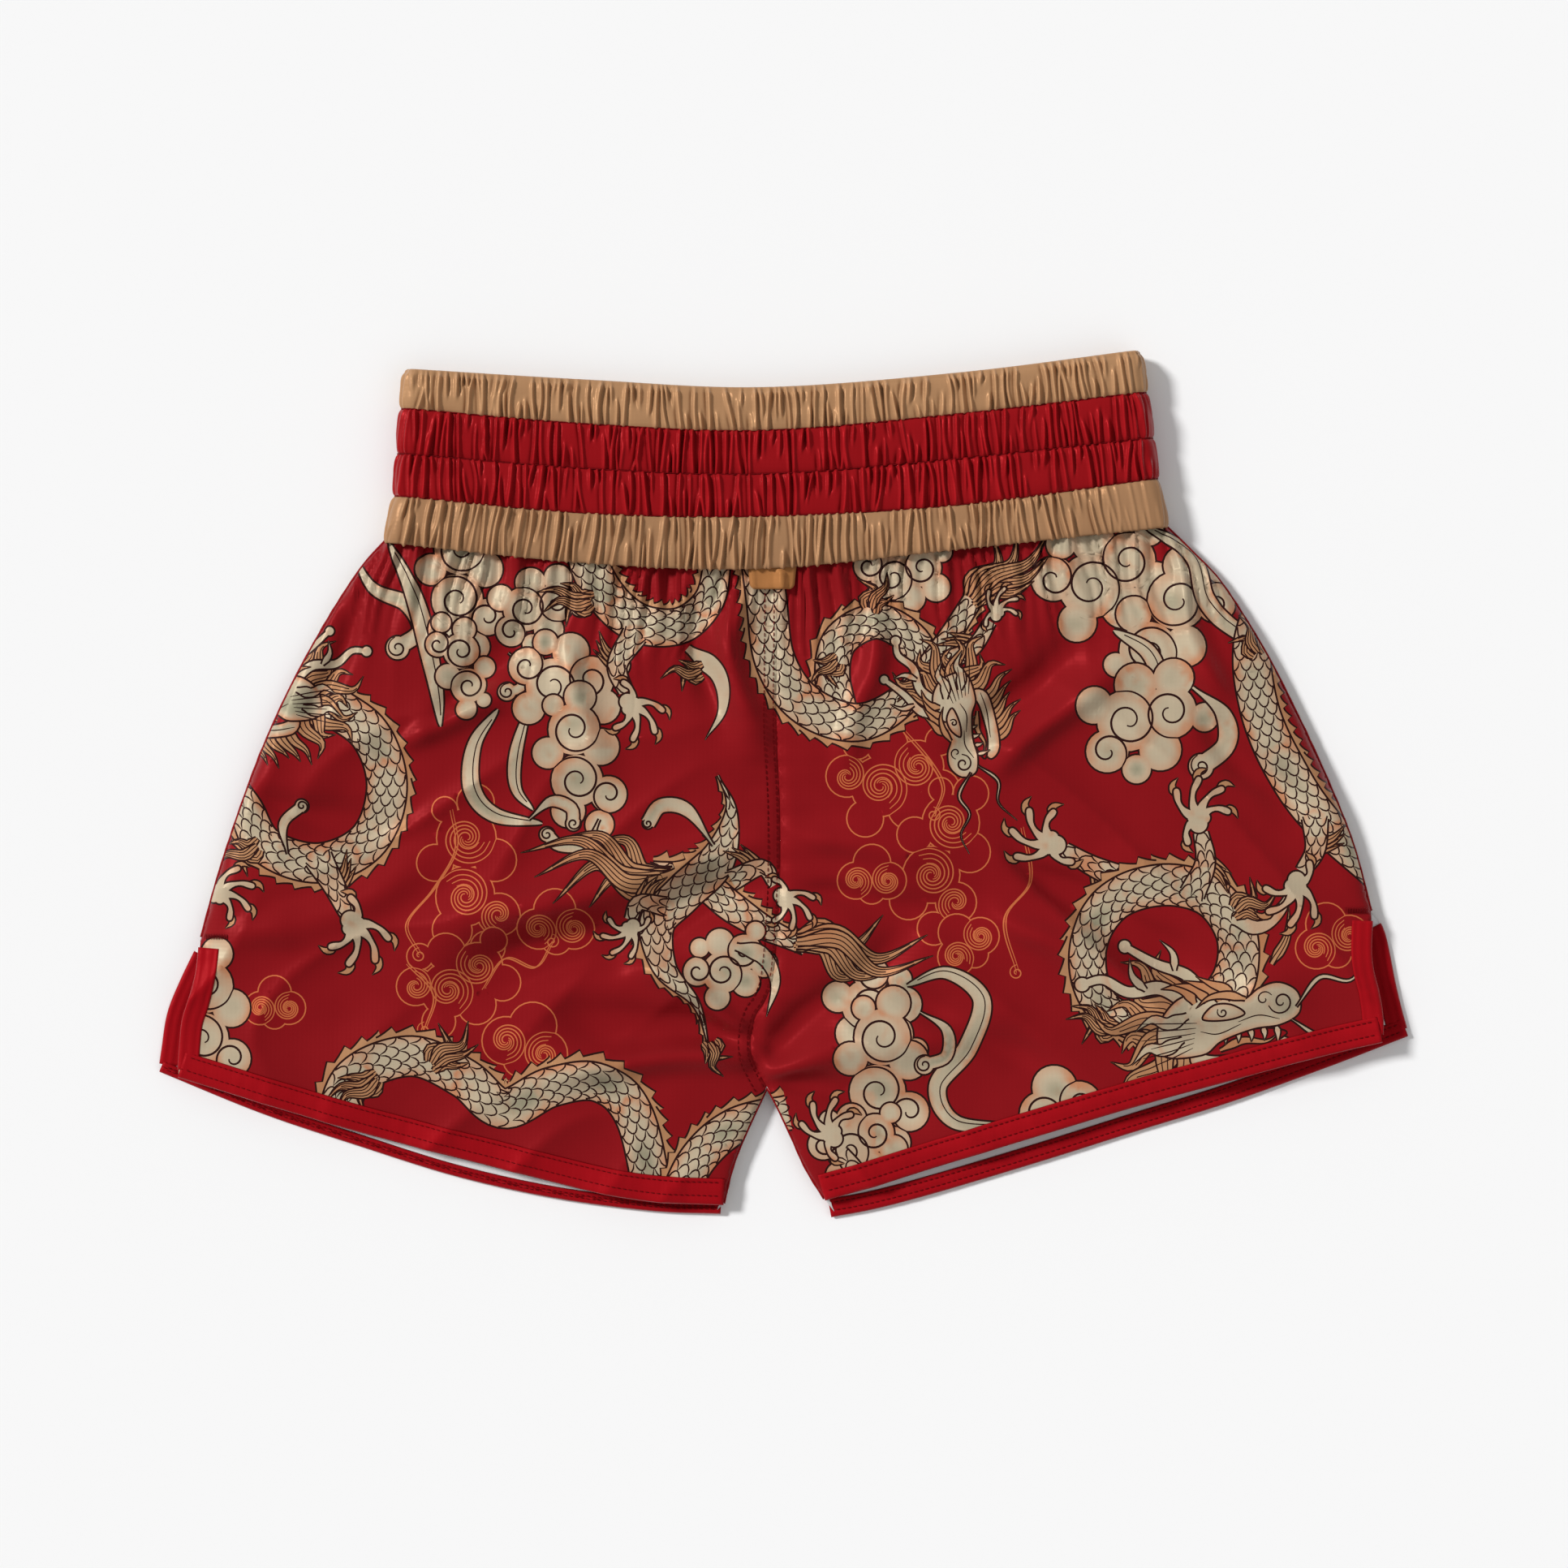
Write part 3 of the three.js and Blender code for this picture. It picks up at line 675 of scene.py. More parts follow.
def draw():
    """The whole print, in place on the front of the shorts."""
    # Gold line clouds, behind everything.
    line_cloud(-142, -44, "column", 8, 1.3)
    line_cloud(-104, -66, "head", 0, 1.0)
    line_cloud(-148, -92, "bank", 20, 1.1)
    line_cloud(-118, -120, "head", -20, 1.15)
    strand([(-152, -12), (-150, -30), (-160, -48), (-172, -64), (-166, -78)])
    strand([(-138, -94), (-128, -80), (-114, -84), (-106, -72)], -1)
    strand([(-172, -82), (-160, -96), (-164, -112)])
    line_cloud(50, 0, "bank", 10, 1.2)
    line_cloud(72, -36, "column", -12, 1.25)
    line_cloud(40, -44, "head", 0, 0.9)
    line_cloud(84, -74, "head", 40, 0.9)
    strand([(54, 24), (66, 10), (72, -2), (68, -14)], -1)
    strand([(108, -20), (112, -44), (100, -62), (106, -86)])
    line_cloud(250, -72, "head", 20, 1.0)
    line_cloud(-232, -102, "head", 0, 0.8)

    # Filled clouds and their ribbons.
    curled([(-200, 112), (-188, 90), (-172, 82), (-166, 70), (-176, 62)], 7.5, 5.6)
    scarf([(-180, 110), (-168, 84), (-160, 52), (-156, 26)], 9)
    cloud(-146, 90, "column", 6, 1.15)
    cloud(-148, 56, "column", -160, 0.8)
    cloud(-114, 82, "bank", 30, 0.9, -1)
    curled([(-126, 60), (-118, 52), (-120, 44), (-126, 42)], 5, 4.4)
    scarf([(-130, 34), (-141, 18), (-142, -2), (-132, -14), (-110, -18)], 8.5)
    scarf([(-116, 36), (-122, 14), (-122, -2), (-114, -12)], 6.5)
    cloud(-100, 44, "bank", -10, 1.1)
    cloud(-92, 8, "column", 12, 1.15)
    curled([(-116, -16), (-106, -8), (-97, -11), (-96, -18)], 6, 3.6, -1)
    curled([(-84, -16), (-90, -27), (-102, -28), (-108, -23)], 6, 3.6)
    cloud(-262, -110, "column", 4, 1.2)
    cloud(146, 92, "bank", 16, 1.3)
    cloud(178, 76, "column", -38, 1.3, -1)
    scarf([(150, 70), (166, 60), (170, 46), (160, 36)], 8)
    cloud(162, 32, "bank", 30, 1.25, -1)
    curled([(186, 44), (200, 32), (202, 18), (190, 8)], 9, 6)
    curled([(188, 112), (204, 96), (214, 84), (224, 88)], 8, 5.5, -1)
    scarf([(164, 118), (186, 104), (192, 84), (206, 70), (232, 58)], 9)
    cloud(54, 94, "bank", 0, 0.9)
    cloud(40, -106, "bank", -70, 1.05)
    cloud(46, -134, "column", 4, 1.25)
    cloud(34, -166, "bank", 14, 0.9)
    scarf([(56, -92), (74, -86), (90, -98), (84, -120), (70, -138), (78, -154), (104, -156)], 9.5)
    curled([(62, -104), (74, -112), (74, -124), (64, -128)], 6, 4.6)
    cloud(126, -148, "head", 16, 1.1)

    # A: loop at the wearer's right, its head turned to the side seam.
    body([(-206, 36), (-188, 22), (-181, -2), (-190, -26), (-212, -36), (-236, -28), (-248, -8),
          (-266, 8)], 18.5, 0.85, 1)
    limb([(-212, -34), (-204, -48), (-198, -60)], 13, 7)
    claw(-196, -64, -62, 1.15)
    curled([(-226, -32), (-228, -18), (-220, -10)], 5, 3.2)
    plume(-240, -28, 200, 22, 3, 24)
    head(-222, 38, 186, 1.0, -1)
    claw(-258, -50, 10, 1.0)
    # B: comes down from the waistband beside the centre seam.
    body([(-94, 116), (-84, 90), (-68, 74), (-48, 72), (-34, 84), (-30, 104)], 18, 0.7, 1)
    limb([(-68, 68), (-76, 54), (-72, 42)], 12, 7, -1)
    claw(-70, 36, -50, 1.0)
    plume(-88, 84, 176, 26, 4, 26)
    leaf([(-44, 62), (-30, 50), (-28, 34), (-36, 20)], 10, FILL)
    plume(-38, 52, 182, 18, 3, 20)
    # C: the long curve at the wearer's left of the centre seam.
    body([(26, 30), (22, 50), (26, 66), (42, 74), (58, 66), (68, 50), (80, 40)], 16, 0.9, 1)
    plume(24, 56, 215, 16, 3, 28)
    body([(-12, 116), (-8, 84), (-4, 56), (10, 36), (34, 28), (56, 40), (72, 62), (86, 84)], 18.5, 0.5, -1)
    plume(86, 84, 36, 46, 5, 22)
    limb([(74, 56), (86, 62), (94, 74)], 9, 6)
    claw(97, 78, 70, 0.7)
    plume(40, 80, 60, 20, 3, 26)
    head(78, 40, -72, 0.95, -1)
    # D: across the centre seam.
    body([(-60, -42), (-40, -44), (-24, -56), (-8, -66), (10, -74)], 14, 0.6, 1)
    plume(-52, -42, 166, 66, 6, 18)
    plume(6, -72, -16, 60, 5, 16)
    body([(-30, 4), (-24, -12), (-30, -34), (-46, -50), (-58, -64), (-54, -84), (-40, -100),
          (-34, -122)], 18, 0.04, -1, 0.04)
    plume(-34, -118, 282, 16, 3, 14)
    curled([(-32, -28), (-44, -12), (-56, -10), (-62, -18)], 7, 2.6)
    limb([(-24, -44), (-10, -38), (-4, -46)], 10, 6)
    claw(0, -52, -40, 0.9)
    limb([(-54, -56), (-66, -54), (-70, -62)], 9, 6, -1)
    claw(-70, -66, 230, 0.85)
    cloud(-24, -84, "bank", 24, 0.85)
    leaf([(-22, -74), (-10, -78), (-4, -90), (-8, -106)], 9, FILL)
    # E: the large curve on the wearer's left leg, closed by its own head.
    limb([(162, -46), (142, -38), (128, -30)], 13, 7)
    claw(122, -27, 160, 1.15)
    body([(192, -106), (205, -88), (206, -68), (194, -51), (172, -46), (150, -54), (138, -76),
          (144, -100), (166, -112)], 19, 0.8, -1)
    limb([(186, -50), (192, -36), (190, -22)], 12, 7, -1)
    claw(189, -16, 88, 1.1)
    leaf([(204, -62), (217, -64), (227, -56), (232, -42)], 10, FILL)
    plume(206, -58, 16, 24, 3, 26)
    lock([(222, -82), (229, -70), (230, -56)], 5.5, 2)
    plume(150, -112, 150, 22, 4, 22)
    head(184, -112, 6, 1.35)
    # F: at the wearer's left hip.
    body([(226, 92), (214, 66), (216, 36), (228, 8), (246, -18), (282, -50)], 18, 0.9, 1)
    limb([(242, -16), (242, -30), (236, -40)], 12, 7)
    claw(233, -46, -100, 1.1)
    plume(216, 60, 110, 20, 3, 26)
    # G and H: rising from the hem of the wearer's right leg.
    body([(-206, -160), (-196, -134), (-170, -124), (-146, -134), (-128, -148), (-106, -138),
          (-84, -136), (-68, -152), (-58, -196)], 18.5, 0.95, 1)
    plume(-160, -128, 30, 26, 4, 26)
    plume(-186, -134, 206, 26, 4, 24)
    body([(-52, -198), (-40, -172), (-22, -156), (2, -150)], 17, 0.95, 1)
    # The corner of the wearer's left leg.
    limb([(40, -190), (32, -176), (26, -168)], 12, 7)
    claw(22, -160, 120, 1.0)


# ---------------------------------------------------------------- meshes
def mesh_object(name, vertices, faces, materials, body_name):
    """A smooth-shaded mesh in metres from vertices in millimetres."""
    mesh = bpy.data.meshes.new(name)
    mesh.from_pydata((np.asarray(vertices, float) * MM).tolist(), [], faces)
    mesh.polygons.foreach_set("use_smooth", np.full(len(mesh.polygons), True))
    for material in materials:
        mesh.materials.append(material)
    obj = bpy.data.objects.new(name, mesh)
    bpy.context.scene.collection.objects.link(obj)
    obj["rides"] = body_name
    return obj


def inside(points, polygon):
    """Which points are inside a polygon, by its crossings."""
    x, y = points[:, 0], points[:, 1]
    found = np.zeros(len(points), bool)
    for (x0, y0), (x1, y1) in zip(polygon, np.roll(polygon, -1, 0)):
        if y0 == y1:
            continue
        crosses = (y0 > y) != (y1 > y)
        found ^= crosses & (x < (x1 - x0) * (y - y0) / (y1 - y0) + x0)
    return found


def panel_outline(side, layer):
    """The edge of one panel, anticlockwise or clockwise as its side has it."""
    waist_x = np.linspace(CENTRE[0][0], SIDE[side][0][0], 40)
    waist = np.column_stack([waist_x, waist_y(4, waist_x) + 1.0])
    lines = (SIDE[side], VENT[side, layer], HEM[side, layer], INSEAM[side], CENTRE)
    out, vent, hem, inseam, centre = (resample(curve(line, 2), 2.5) for line in lines)
    return np.vstack([part[:-1] for part in (waist, out, vent, hem, inseam[::-1])] + [centre[::-1]])


def triangulate(outline, art, spacing):
    """Triangles that fill an outline and keep every edge of the art. Returns points and triangles."""
    low, high = outline.min(0), outline.max(0)
    rings = [outline] + [p for _, p in art if (p.max(0) > low).all() and (p.min(0) < high).all()]
    borders, total = [], 0
    for p in rings:
        borders += [(total + i, total + (i + 1) % len(p)) for i in range(len(p))]
        total += len(p)
    gx, gy = np.meshgrid(np.arange(low[0], high[0], spacing), np.arange(low[1], high[1], spacing * 0.87))
    gx[::2] += spacing / 2
    grid = np.column_stack([gx.ravel(), gy.ravel()])
    grid = grid[inside(grid, outline)]
    # Rows of points beside the seams, where the cloth turns down.
    for s in SIDES:
        for d in (0.5, 1.2, 2.4, 4.0, 6.0):
            for line, turn in ((SIDE_LINE[s], SIGN[s]), (INSEAM_LINE[s], -SIGN[s])):
                near = resample(line + normals(line) * d * turn, 2.4)
                grid = np.vstack([grid, near[inside(near, outline)]])
    # Closer points under the waistband, where the cloth puckers.
    pucker_reach = 42
    fx, fy = np.meshgrid(np.arange(low[0], high[0], 1.3), np.arange(0.4, pucker_reach, 1.6))
    near = np.column_stack([fx.ravel(), waist_y(4, fx.ravel()) - fy.ravel()])
    grid = grid[below_waist(grid[:, 0], grid[:, 1]) > pucker_reach]
    points = np.vstack([*rings, grid, near[inside(near, outline)]])
    found, _, triangles, _, _, _ = delaunay_2d_cdt([tuple(p) for p in points], borders, [], 0, 1e-4, False)
    found = np.array([tuple(p) for p in found])
    triangles = np.array([t for t in triangles if len(t) == 3])
    triangles = triangles[inside(found[triangles].mean(1), outline)]
    # All of them anticlockwise.
    ab = found[triangles[:, 1]] - found[triangles[:, 0]]
    ac = found[triangles[:, 2]] - found[triangles[:, 0]]
    turned = ab[:, 0] * ac[:, 1] - ab[:, 1] * ac[:, 0] < 0
    triangles[turned] = triangles[turned][:, ::-1]
    used, flat = np.unique(triangles, return_inverse=True)
    return found[used], flat.reshape(-1, 3)


def kinds_of(middles, art):
    """The kind of the topmost shape over each point."""
    order = np.argsort(middles[:, 0])
    x, y = middles[order, 0], middles[order, 1]
    found = np.full(len(middles), GROUND)
    for k, polygon in art:
        low, high = polygon.min(0), polygon.max(0)
        a, b = np.searchsorted(x, (low[0], high[0]))
        near = a + np.nonzero((y[a:b] > low[1]) & (y[a:b] < high[1]))[0]
        if len(near):
            found[near[inside(middles[order[near]], polygon)]] = k
    kind = np.empty_like(found)
    kind[order] = found
    return kind


# ---------------------------------------------------------------- materials
def rgb(r, g, b):
    """A linear colour from sRGB values of 0 to 255."""
    c = np.array([r, g, b]) / 255
    return tuple(np.where(c < 0.04045, c / 12.92, ((c + 0.055) / 1.055) ** 2.4)) + (1.0,)


INK_COLOURS = {
    GROUND: rgb(131, 21, 26),
    FILL: rgb(184, 168, 142),
    LINE: rgb(44, 22, 20),
    GOLD: rgb(190, 102, 62),
    HAIR: rgb(172, 126, 90),
}
# What the airbrushed shading turns towards.
PEACH = rgb(184, 120, 84)
OLIVE = rgb(124, 124, 102)
RUST = rgb(170, 108, 72)


def satin(name, colour=None, rough=0.4, weave=0.00032, bump=0.12, mottle=0.08, specular=0.5):
    """Satin cloth: fine ribs, a soft sheen and a slight unevenness. No colour means the mesh's own ink
    colours, which on the waistband carry painted highlights and painted shade.
    """
    material = bpy.data.materials.new(name)
    material.use_nodes = True
    nodes, links = material.node_tree.nodes, material.node_tree.links
    shader = nodes["Principled BSDF"]
    place = nodes.new("ShaderNodeTexCoord")
    noise = nodes.new("ShaderNodeTexNoise")
    noise.inputs["Scale"].default_value = 55
    noise.inputs["Detail"].default_value = 5
    links.new(place.outputs["Object"], noise.inputs["Vector"])

    def spread(low, high, socket):
        """The noise as a value from low to high."""
        span = nodes.new("ShaderNodeMapRange")
        span.inputs["To Min"].default_value = low
        span.inputs["To Max"].default_value = high
        links.new(noise.outputs["Fac"], span.inputs["Value"])
        links.new(span.outputs["Result"], socket)

    if colour is None:
        base = nodes.new("ShaderNodeVertexColor")
        base.layer_name = "ink"
    else:
        base = nodes.new("ShaderNodeRGB")
        base.outputs["Color"].default_value = colour
    shade = nodes.new("ShaderNodeHueSaturation")
    links.new(base.outputs["Color"], shade.inputs["Color"])
    spread(1 - mottle, 1 + mottle, shade.inputs["Value"])
    links.new(shade.outputs["Color"], shader.inputs["Base Color"])
    spread(rough - 0.05, rough + 0.07, shader.inputs["Roughness"])
    # The weave: two crossing sets of ribs, weave metres apart.
    both = nodes.new("ShaderNodeMath")
    both.operation = "ADD"
    for k, axis in enumerate("XY"):
        ribs = nodes.new("ShaderNodeTexWave")
        ribs.bands_direction = axis
        ribs.inputs["Scale"].default_value = 1 / (weave * 20)
        ribs.inputs["Distortion"].default_value = 0.6
        links.new(place.outputs["Object"], ribs.inputs["Vector"])
        links.new(ribs.outputs["Fac"], both.inputs[k])
    lift = nodes.new("ShaderNodeBump")
    lift.inputs["Strength"].default_value = bump
    lift.inputs["Distance"].default_value = 0.0001
    links.new(both.outputs[0], lift.inputs["Height"])
    links.new(lift.outputs["Normal"], shader.inputs["Normal"])
    shader.inputs["Specular IOR Level"].default_value = specular
    if colour is None:
        links.new(shade.outputs["Color"], shader.inputs["Specular Tint"])
    else:
        shader.inputs["Specular Tint"].default_value = colour
    return material


PRINT = satin("printed_satin", rough=0.37, specular=0.75)
GATHERED = satin("gathered_satin", rough=0.3, mottle=0.06, specular=0.8)
REVERSE = satin("satin_reverse", rgb(222, 220, 220), 0.6, mottle=0.05)
RED_SATIN = satin("red_satin", rgb(126, 16, 20), 0.36, mottle=0.12)
GOLD_SATIN = satin("gold_satin", rgb(146, 106, 76), 0.36, mottle=0.1)
BINDING = satin("red_binding", rgb(152, 16, 24), 0.4, mottle=0.1)
TAB_SATIN = satin("orange_gold_satin", rgb(166, 112, 66), 0.38, mottle=0.1)
THREAD = satin("red_thread", rgb(104, 14, 18), 0.55, weave=0.0002, bump=0.4)
ELASTIC = satin("white_elastic", rgb(226, 222, 214), 0.75, weave=0.0012, bump=0.6)
BAND_COLOURS = (rgb(169, 128, 92), rgb(143, 20, 25), rgb(143, 20, 25), rgb(161, 121, 87))


# ---------------------------------------------------------------- pieces
def tint(colour, other, share):
    """A colour, or one for each point, moved towards another by each point's share."""
    return colour + (np.array(other) - colour) * share[:, None]


def ink_colours(points, kind_of_corner, corner, shades):
    """Print colours at each corner, with the airbrushed shading of the filled shapes."""
    x, y = points[:, 0], points[:, 1]
    depth = np.full(len(points), 0.5)
    for low, high, inner in shades:
        near = np.nonzero((x > low[0]) & (x < high[0]) & (y > low[1]) & (y < high[1]))[0]
        if len(near):
            value = inner(x[near], y[near])
            hit = value > 0
            depth[near[hit]] = np.clip(value[hit], 0, 1)

    def patches(wave, seed, low, high):
        """Soft-edged patches from 0 to 1."""
        return smooth(ripple(x, y, wave, seed) * 0.5 + 0.5, low, high)

    warm = patches(26, 21, 0.3, 0.9)
    cool = patches(34, 22, 0.4, 1.0)
    speckle = patches(6.5, 23, 0.45, 1.0)
    peach = (0.4 + 0.6 * warm) * (1 - smooth(depth, 0, 0.6)) + 0.55 * speckle * warm
    fill = tint(np.array(INK_COLOURS[FILL]), PEACH, np.clip(peach, 0, 0.9))
    shaded = {
        FILL: tint(fill, OLIVE, 0.7 * cool * smooth(depth, 0.3, 0.9)),
        HAIR: tint(np.array(INK_COLOURS[HAIR]), RUST, 0.6 * cool),
    }
    out = np.zeros((len(corner), 4), np.float32)
    for kind, colour in INK_COLOURS.items():
        chosen = kind_of_corner == kind
        out[chosen] = shaded[kind][corner[chosen]] if kind in shaded else colour
    return out


CLOTH = 0.45  # thickness of the satin
OFF_FLOOR = 0.12  # least height of the back's outer face


def ring(triangles, points, start):
    """The edge points of a triangulated sheet in order, from the one nearest to start."""
    pairs = {(int(t[k]), int(t[k - 2])) for t in triangles for k in range(3)}
    onward = {a: b for a, b in pairs if (b, a) not in pairs}
    first = min(onward, key=lambda i: ((points[i] - start) ** 2).sum())
    found = [first]
    while onward[found[-1]] != first:
        found.append(onward[found[-1]])
    return found


def zip_rings(upper, lower, upper_points, lower_points):
    """Triangles between two rings round one edge. The lower points are numbered on from the upper ones."""

    def shares(ids, points):
        """How far round its ring each point is, from 0 to 1."""
        along = lengths(points[ids + ids[:1]])
        return along / along[-1]

    a, b = shares(upper, upper_points), shares(lower, lower_points)
    first, faces, i, j = len(upper_points), [], 0, 0
    while i < len(upper) or j < len(lower):
        here, there = upper[i % len(upper)], first + lower[j % len(lower)]
        if j == len(lower) or i < len(upper) and a[i + 1] <= b[j + 1]:
            faces.append([here, there, upper[(i + 1) % len(upper)]])
            i += 1
        else:
            faces.append([here, there, first + lower[(j + 1) % len(lower)]])
            j += 1
    return faces


def panel(side, layer, art):
    """One printed panel: the print on its outer face and the plain reverse on the inner one."""
    outline = panel_outline(side, layer)
    outer, outer_tris = triangulate(outline, art, 2.4)
    inner, inner_tris = triangulate(outline, [], 3.0)
    height, up = (front_z, 1) if layer == "front" else (back_z, -1)
    # The inner face keeps clear of the outer one where the cloth bends most.
    x, y = inner.T
    slack = 0.95 * (1 - edges(x, y)) + 0.1
    z_outer = height(*outer.T) + up * CLOTH / 2
    if layer == "front":
        slack = slack + 1.5 * np.exp(-below_waist(x, y) / 28)
        slack = slack + 0.9 * np.exp(-((distance(x, y, CENTRE_LINE) / 5) ** 2))
    else:
        z_outer = np.maximum(z_outer, OFF_FLOOR)
    z_inner = height(x, y) - up * (CLOTH / 2 + slack)
    vertices = np.vstack([np.column_stack([outer, z_outer]), np.column_stack([inner, z_inner])])
    # The cut edge joins the two faces round their rings of edge points.
    rim = zip_rings(ring(outer_tris, outer, outline[0]), ring(inner_tris, inner, outline[0]), outer, inner)
    faces = np.vstack([outer_tris, inner_tris[:, ::-1] + len(outer), rim])
    if up < 0:
        faces = faces[:, ::-1]
    obj = mesh_object(f"{side}_{layer}_panel_print", vertices, faces.tolist(), [PRINT, REVERSE], "legs")
    printed = faces[:len(outer_tris)]
    kind = np.full(faces.size, GROUND)
    kind[:printed.size] = kinds_of(outer[printed].mean(1), art).repeat(3)
    colours = ink_colours(vertices[:, :2], kind, faces.ravel(), DEPTHS if layer == "front" else [])
    obj.data.color_attributes.new("ink", "FLOAT_COLOR", "CORNER").data.foreach_set("color", colours.ravel())
    slots = np.zeros(len(faces), np.int32)
    slots[len(outer_tris):len(outer_tris) + len(inner_tris)] = 1
    obj.data.polygons.foreach_set("material_index", slots)
    return obj


BAND_Z = 8.6  # height of the middle of the band
BAND_R = 7.0  # radius of its turns at the side seams
BACK_R = 5.8  # radius of the inner side of a casing
AROUND = 700  # the way round the band, in millimetres


def band_point(s, row, radius):
    """Points of the waistband loop. s goes once round from 0 to 1, row counts down the waist lines."""
    k = int(min(math.floor(max(row, 0)), 3))
    share = row - k
    upper, lower = WAIST[k], WAIST[k + 1]
    left = upper[0][0] + (lower[0][0] - upper[0][0]) * share + BAND_R
    right = upper[-1][0] + (lower[-1][0] - upper[-1][0]) * share - BAND_R
    # Along the front, round the wearer's left side, along the back and round the right side.
    front, arc = right - left, math.pi * BAND_R
    stops = [0, front, front + arc, 2 * front + arc, 2 * (front + arc)]
    x = np.interp(s * stops[-1], stops, [left, right, right, left, left])
    angle = math.pi / 2 * np.interp(s * stops[-1], stops, [1, 1, -1, -1, -3])
    x = x + radius * np.cos(angle)
    y = waist_y(k, x) * (1 - share) + waist_y(k + 1, x) * share
    return np.column_stack([x, y, BAND_Z + radius * np.sin(angle)])


def loop_faces(columns, rows):
    """Quads round a ring of sections. Each section is a closed run of points."""
    faces = []
    for i in range(columns):
        j = (i + 1) % columns
        for k in range(rows):
            m = (k + 1) % rows
            faces.append((i * rows + k, i * rows + m, j * rows + m, j * rows + k))
    return faces


def pinches(row, columns, steps):
    """The gathers of one casing as heights: ridges with a crease beside each, some of them short."""
    rng = np.random.default_rng(400 + row)
    around = np.arange(columns) / columns * AROUND
    v = np.linspace(0, 1, steps)
    high = np.zeros((steps, columns))
    at = 0.0
    while at < AROUND:
        at += rng.uniform(1.7, 4.4)
        lean, bend = rng.normal(0, 1.3), rng.normal(0, 0.5)
        wide = rng.uniform(0.55, 1.0)
        top, foot = rng.uniform(0.55, 1.1, 2)
        reach = np.ones(steps)
        if rng.random() < 0.45:
            # A short one fades out on its way up or down.
            fade = rng.uniform(0.25, 0.7)
            if rng.random() < 0.5:
                reach = 1 - smooth(v, fade - 0.2, fade + 0.15)
            else:
                reach = smooth(v, fade - 0.15, fade + 0.2)
        strength = (top * (1 - v) + foot * v) * reach * (0.72 + 0.28 * np.abs(2 * v - 1))
        crease_side = 1 if rng.random() < 0.5 else -1
        middle = at + lean * (v - 0.5) + bend * np.sin(math.pi * v)
        off = (around[None, :] - middle[:, None] + AROUND / 2) % AROUND - AROUND / 2
        near = np.abs(off[0]) < 9
        d = off[:, near]
        crease = 0.55 * np.exp(-(((d * crease_side - 1.5 * wide) / (1.1 * wide)) ** 2))
        high[:, near] += (np.exp(-((d / wide) ** 2)) - crease) * strength[:, None]
    return high


def band_row(row, columns=1800, steps=27):
    """One gathered casing over its elastic."""
    s = np.arange(columns) / columns
    high = pinches(row, columns, steps)
    # The gathers are flatter at the side seams.
    from_side = np.minimum(np.abs(s - 0.484), np.abs(s - 0.984)) * AROUND
    strength = 0.35 + 0.65 * smooth(from_side, 3, 14)
    if row == 3:
        # The last stretch of the lowest row, at the wearer's left, lies nearly smooth.
        strength = strength * (1 - 0.7 * smooth(s, 0.43, 0.45) * (1 - smooth(s, 0.47, 0.49)))
    tallest = np.where(s < 0.5, 9.8, 8.5)
    loops, painted_light_tones = [], []
    for v, pinch in zip(np.linspace(-0.01, 1.01, steps), high):
        u = min(max(v, 0), 1)
        bulge = 1.5 * (1 - abs(2 * u - 1) ** 3.2) ** 0.6
        held = 0.5 + 0.5 * smooth(u, 0, 0.09) * smooth(1 - u, 0, 0.09)
        swell = 0.3 * ripple(s * AROUND, np.full(columns, v * 20), 16, 40 + row)
        radius = 6.35 + bulge + strength * (2.3 * pinch * held + swell)
        loop = band_point(s, row + v, np.clip(radius, 5.9, tallest))
        if row == 3:
            # The lower edge of the band is drawn into small loops between its stitches.
            loop[:, 1] -= 0.8 * strength * (pinch - 0.2).clip(-0.6, 1.2) * smooth(v, 0.86, 1)
        loops.append(loop)
        # Painted highlight on the ridges and painted shade in the creases, as a colour factor.
        painted_light_tones.append(np.clip(1 + 0.42 * strength * pinch * held, 0.5, 1.35))
    above, below = [], [band_point(s, row + v, BACK_R) for v in (1.0, 0.0)]
    if row == 0:
        # The top casing turns over the elastic and ends inside.
        turn = [(0.3, 3.2), (0.12, 3.3), (-0.04, 3.6), (-0.1, 4.3), (-0.1, 5.4), (-0.06, 6.15)]
        above = [band_point(s, v, r + 0.45 * high[0]) for v, r in turn]
        below = below[:1] + [band_point(s, v, r) for v, r in ((0.04, BACK_R), (0.02, 4.4), (0.3, 3.9))]
    loops = above + loops + below
    painted_light_tones = [np.ones(columns)] * len(above) + painted_light_tones + [np.ones(columns)] * len(below)
    vertices = np.stack(loops, 1).reshape(-1, 3)
    vertices[:, 2] = np.maximum(vertices[:, 2], 0.05)
    faces = loop_faces(columns, len(loops))
    obj = mesh_object(f"waistband_row_{row + 1}", vertices, faces, [GATHERED], "waistband")
    # Painted light: the colour is painted lighter on each ridge, a painted highlight, and darker in each
    # crease, painted shade.
    colours = np.stack(painted_light_tones, 1).reshape(-1, 1) * np.array(BAND_COLOURS[row])
    colours[:, 3] = 1
    obj.data.color_attributes.new("ink", "FLOAT_COLOR", "POINT").data.foreach_set("color", colours.ravel())
    return obj


def thread_loop(line, columns=900, steps=6):
    """The thread of one stitch line, all round the band, just above a line of the waist."""
    s = np.arange(columns) / columns
    dip = 0.16 * np.sin(TURN * s * AROUND / 2.9)
    rings = []
    for k in range(steps):
        a = TURN * k / steps
        centre = band_point(s, line - 1e-6, 6.75 + dip + 0.34 * math.sin(a))
        rings.append(centre + (0, 0.3 * math.cos(a), 0))
    return np.stack(rings, 1).reshape(-1, 3), loop_faces(columns, steps)


def over(height, lift):
    """A surface at some distance over another one."""
    return lambda x, y: height(x, y) + lift


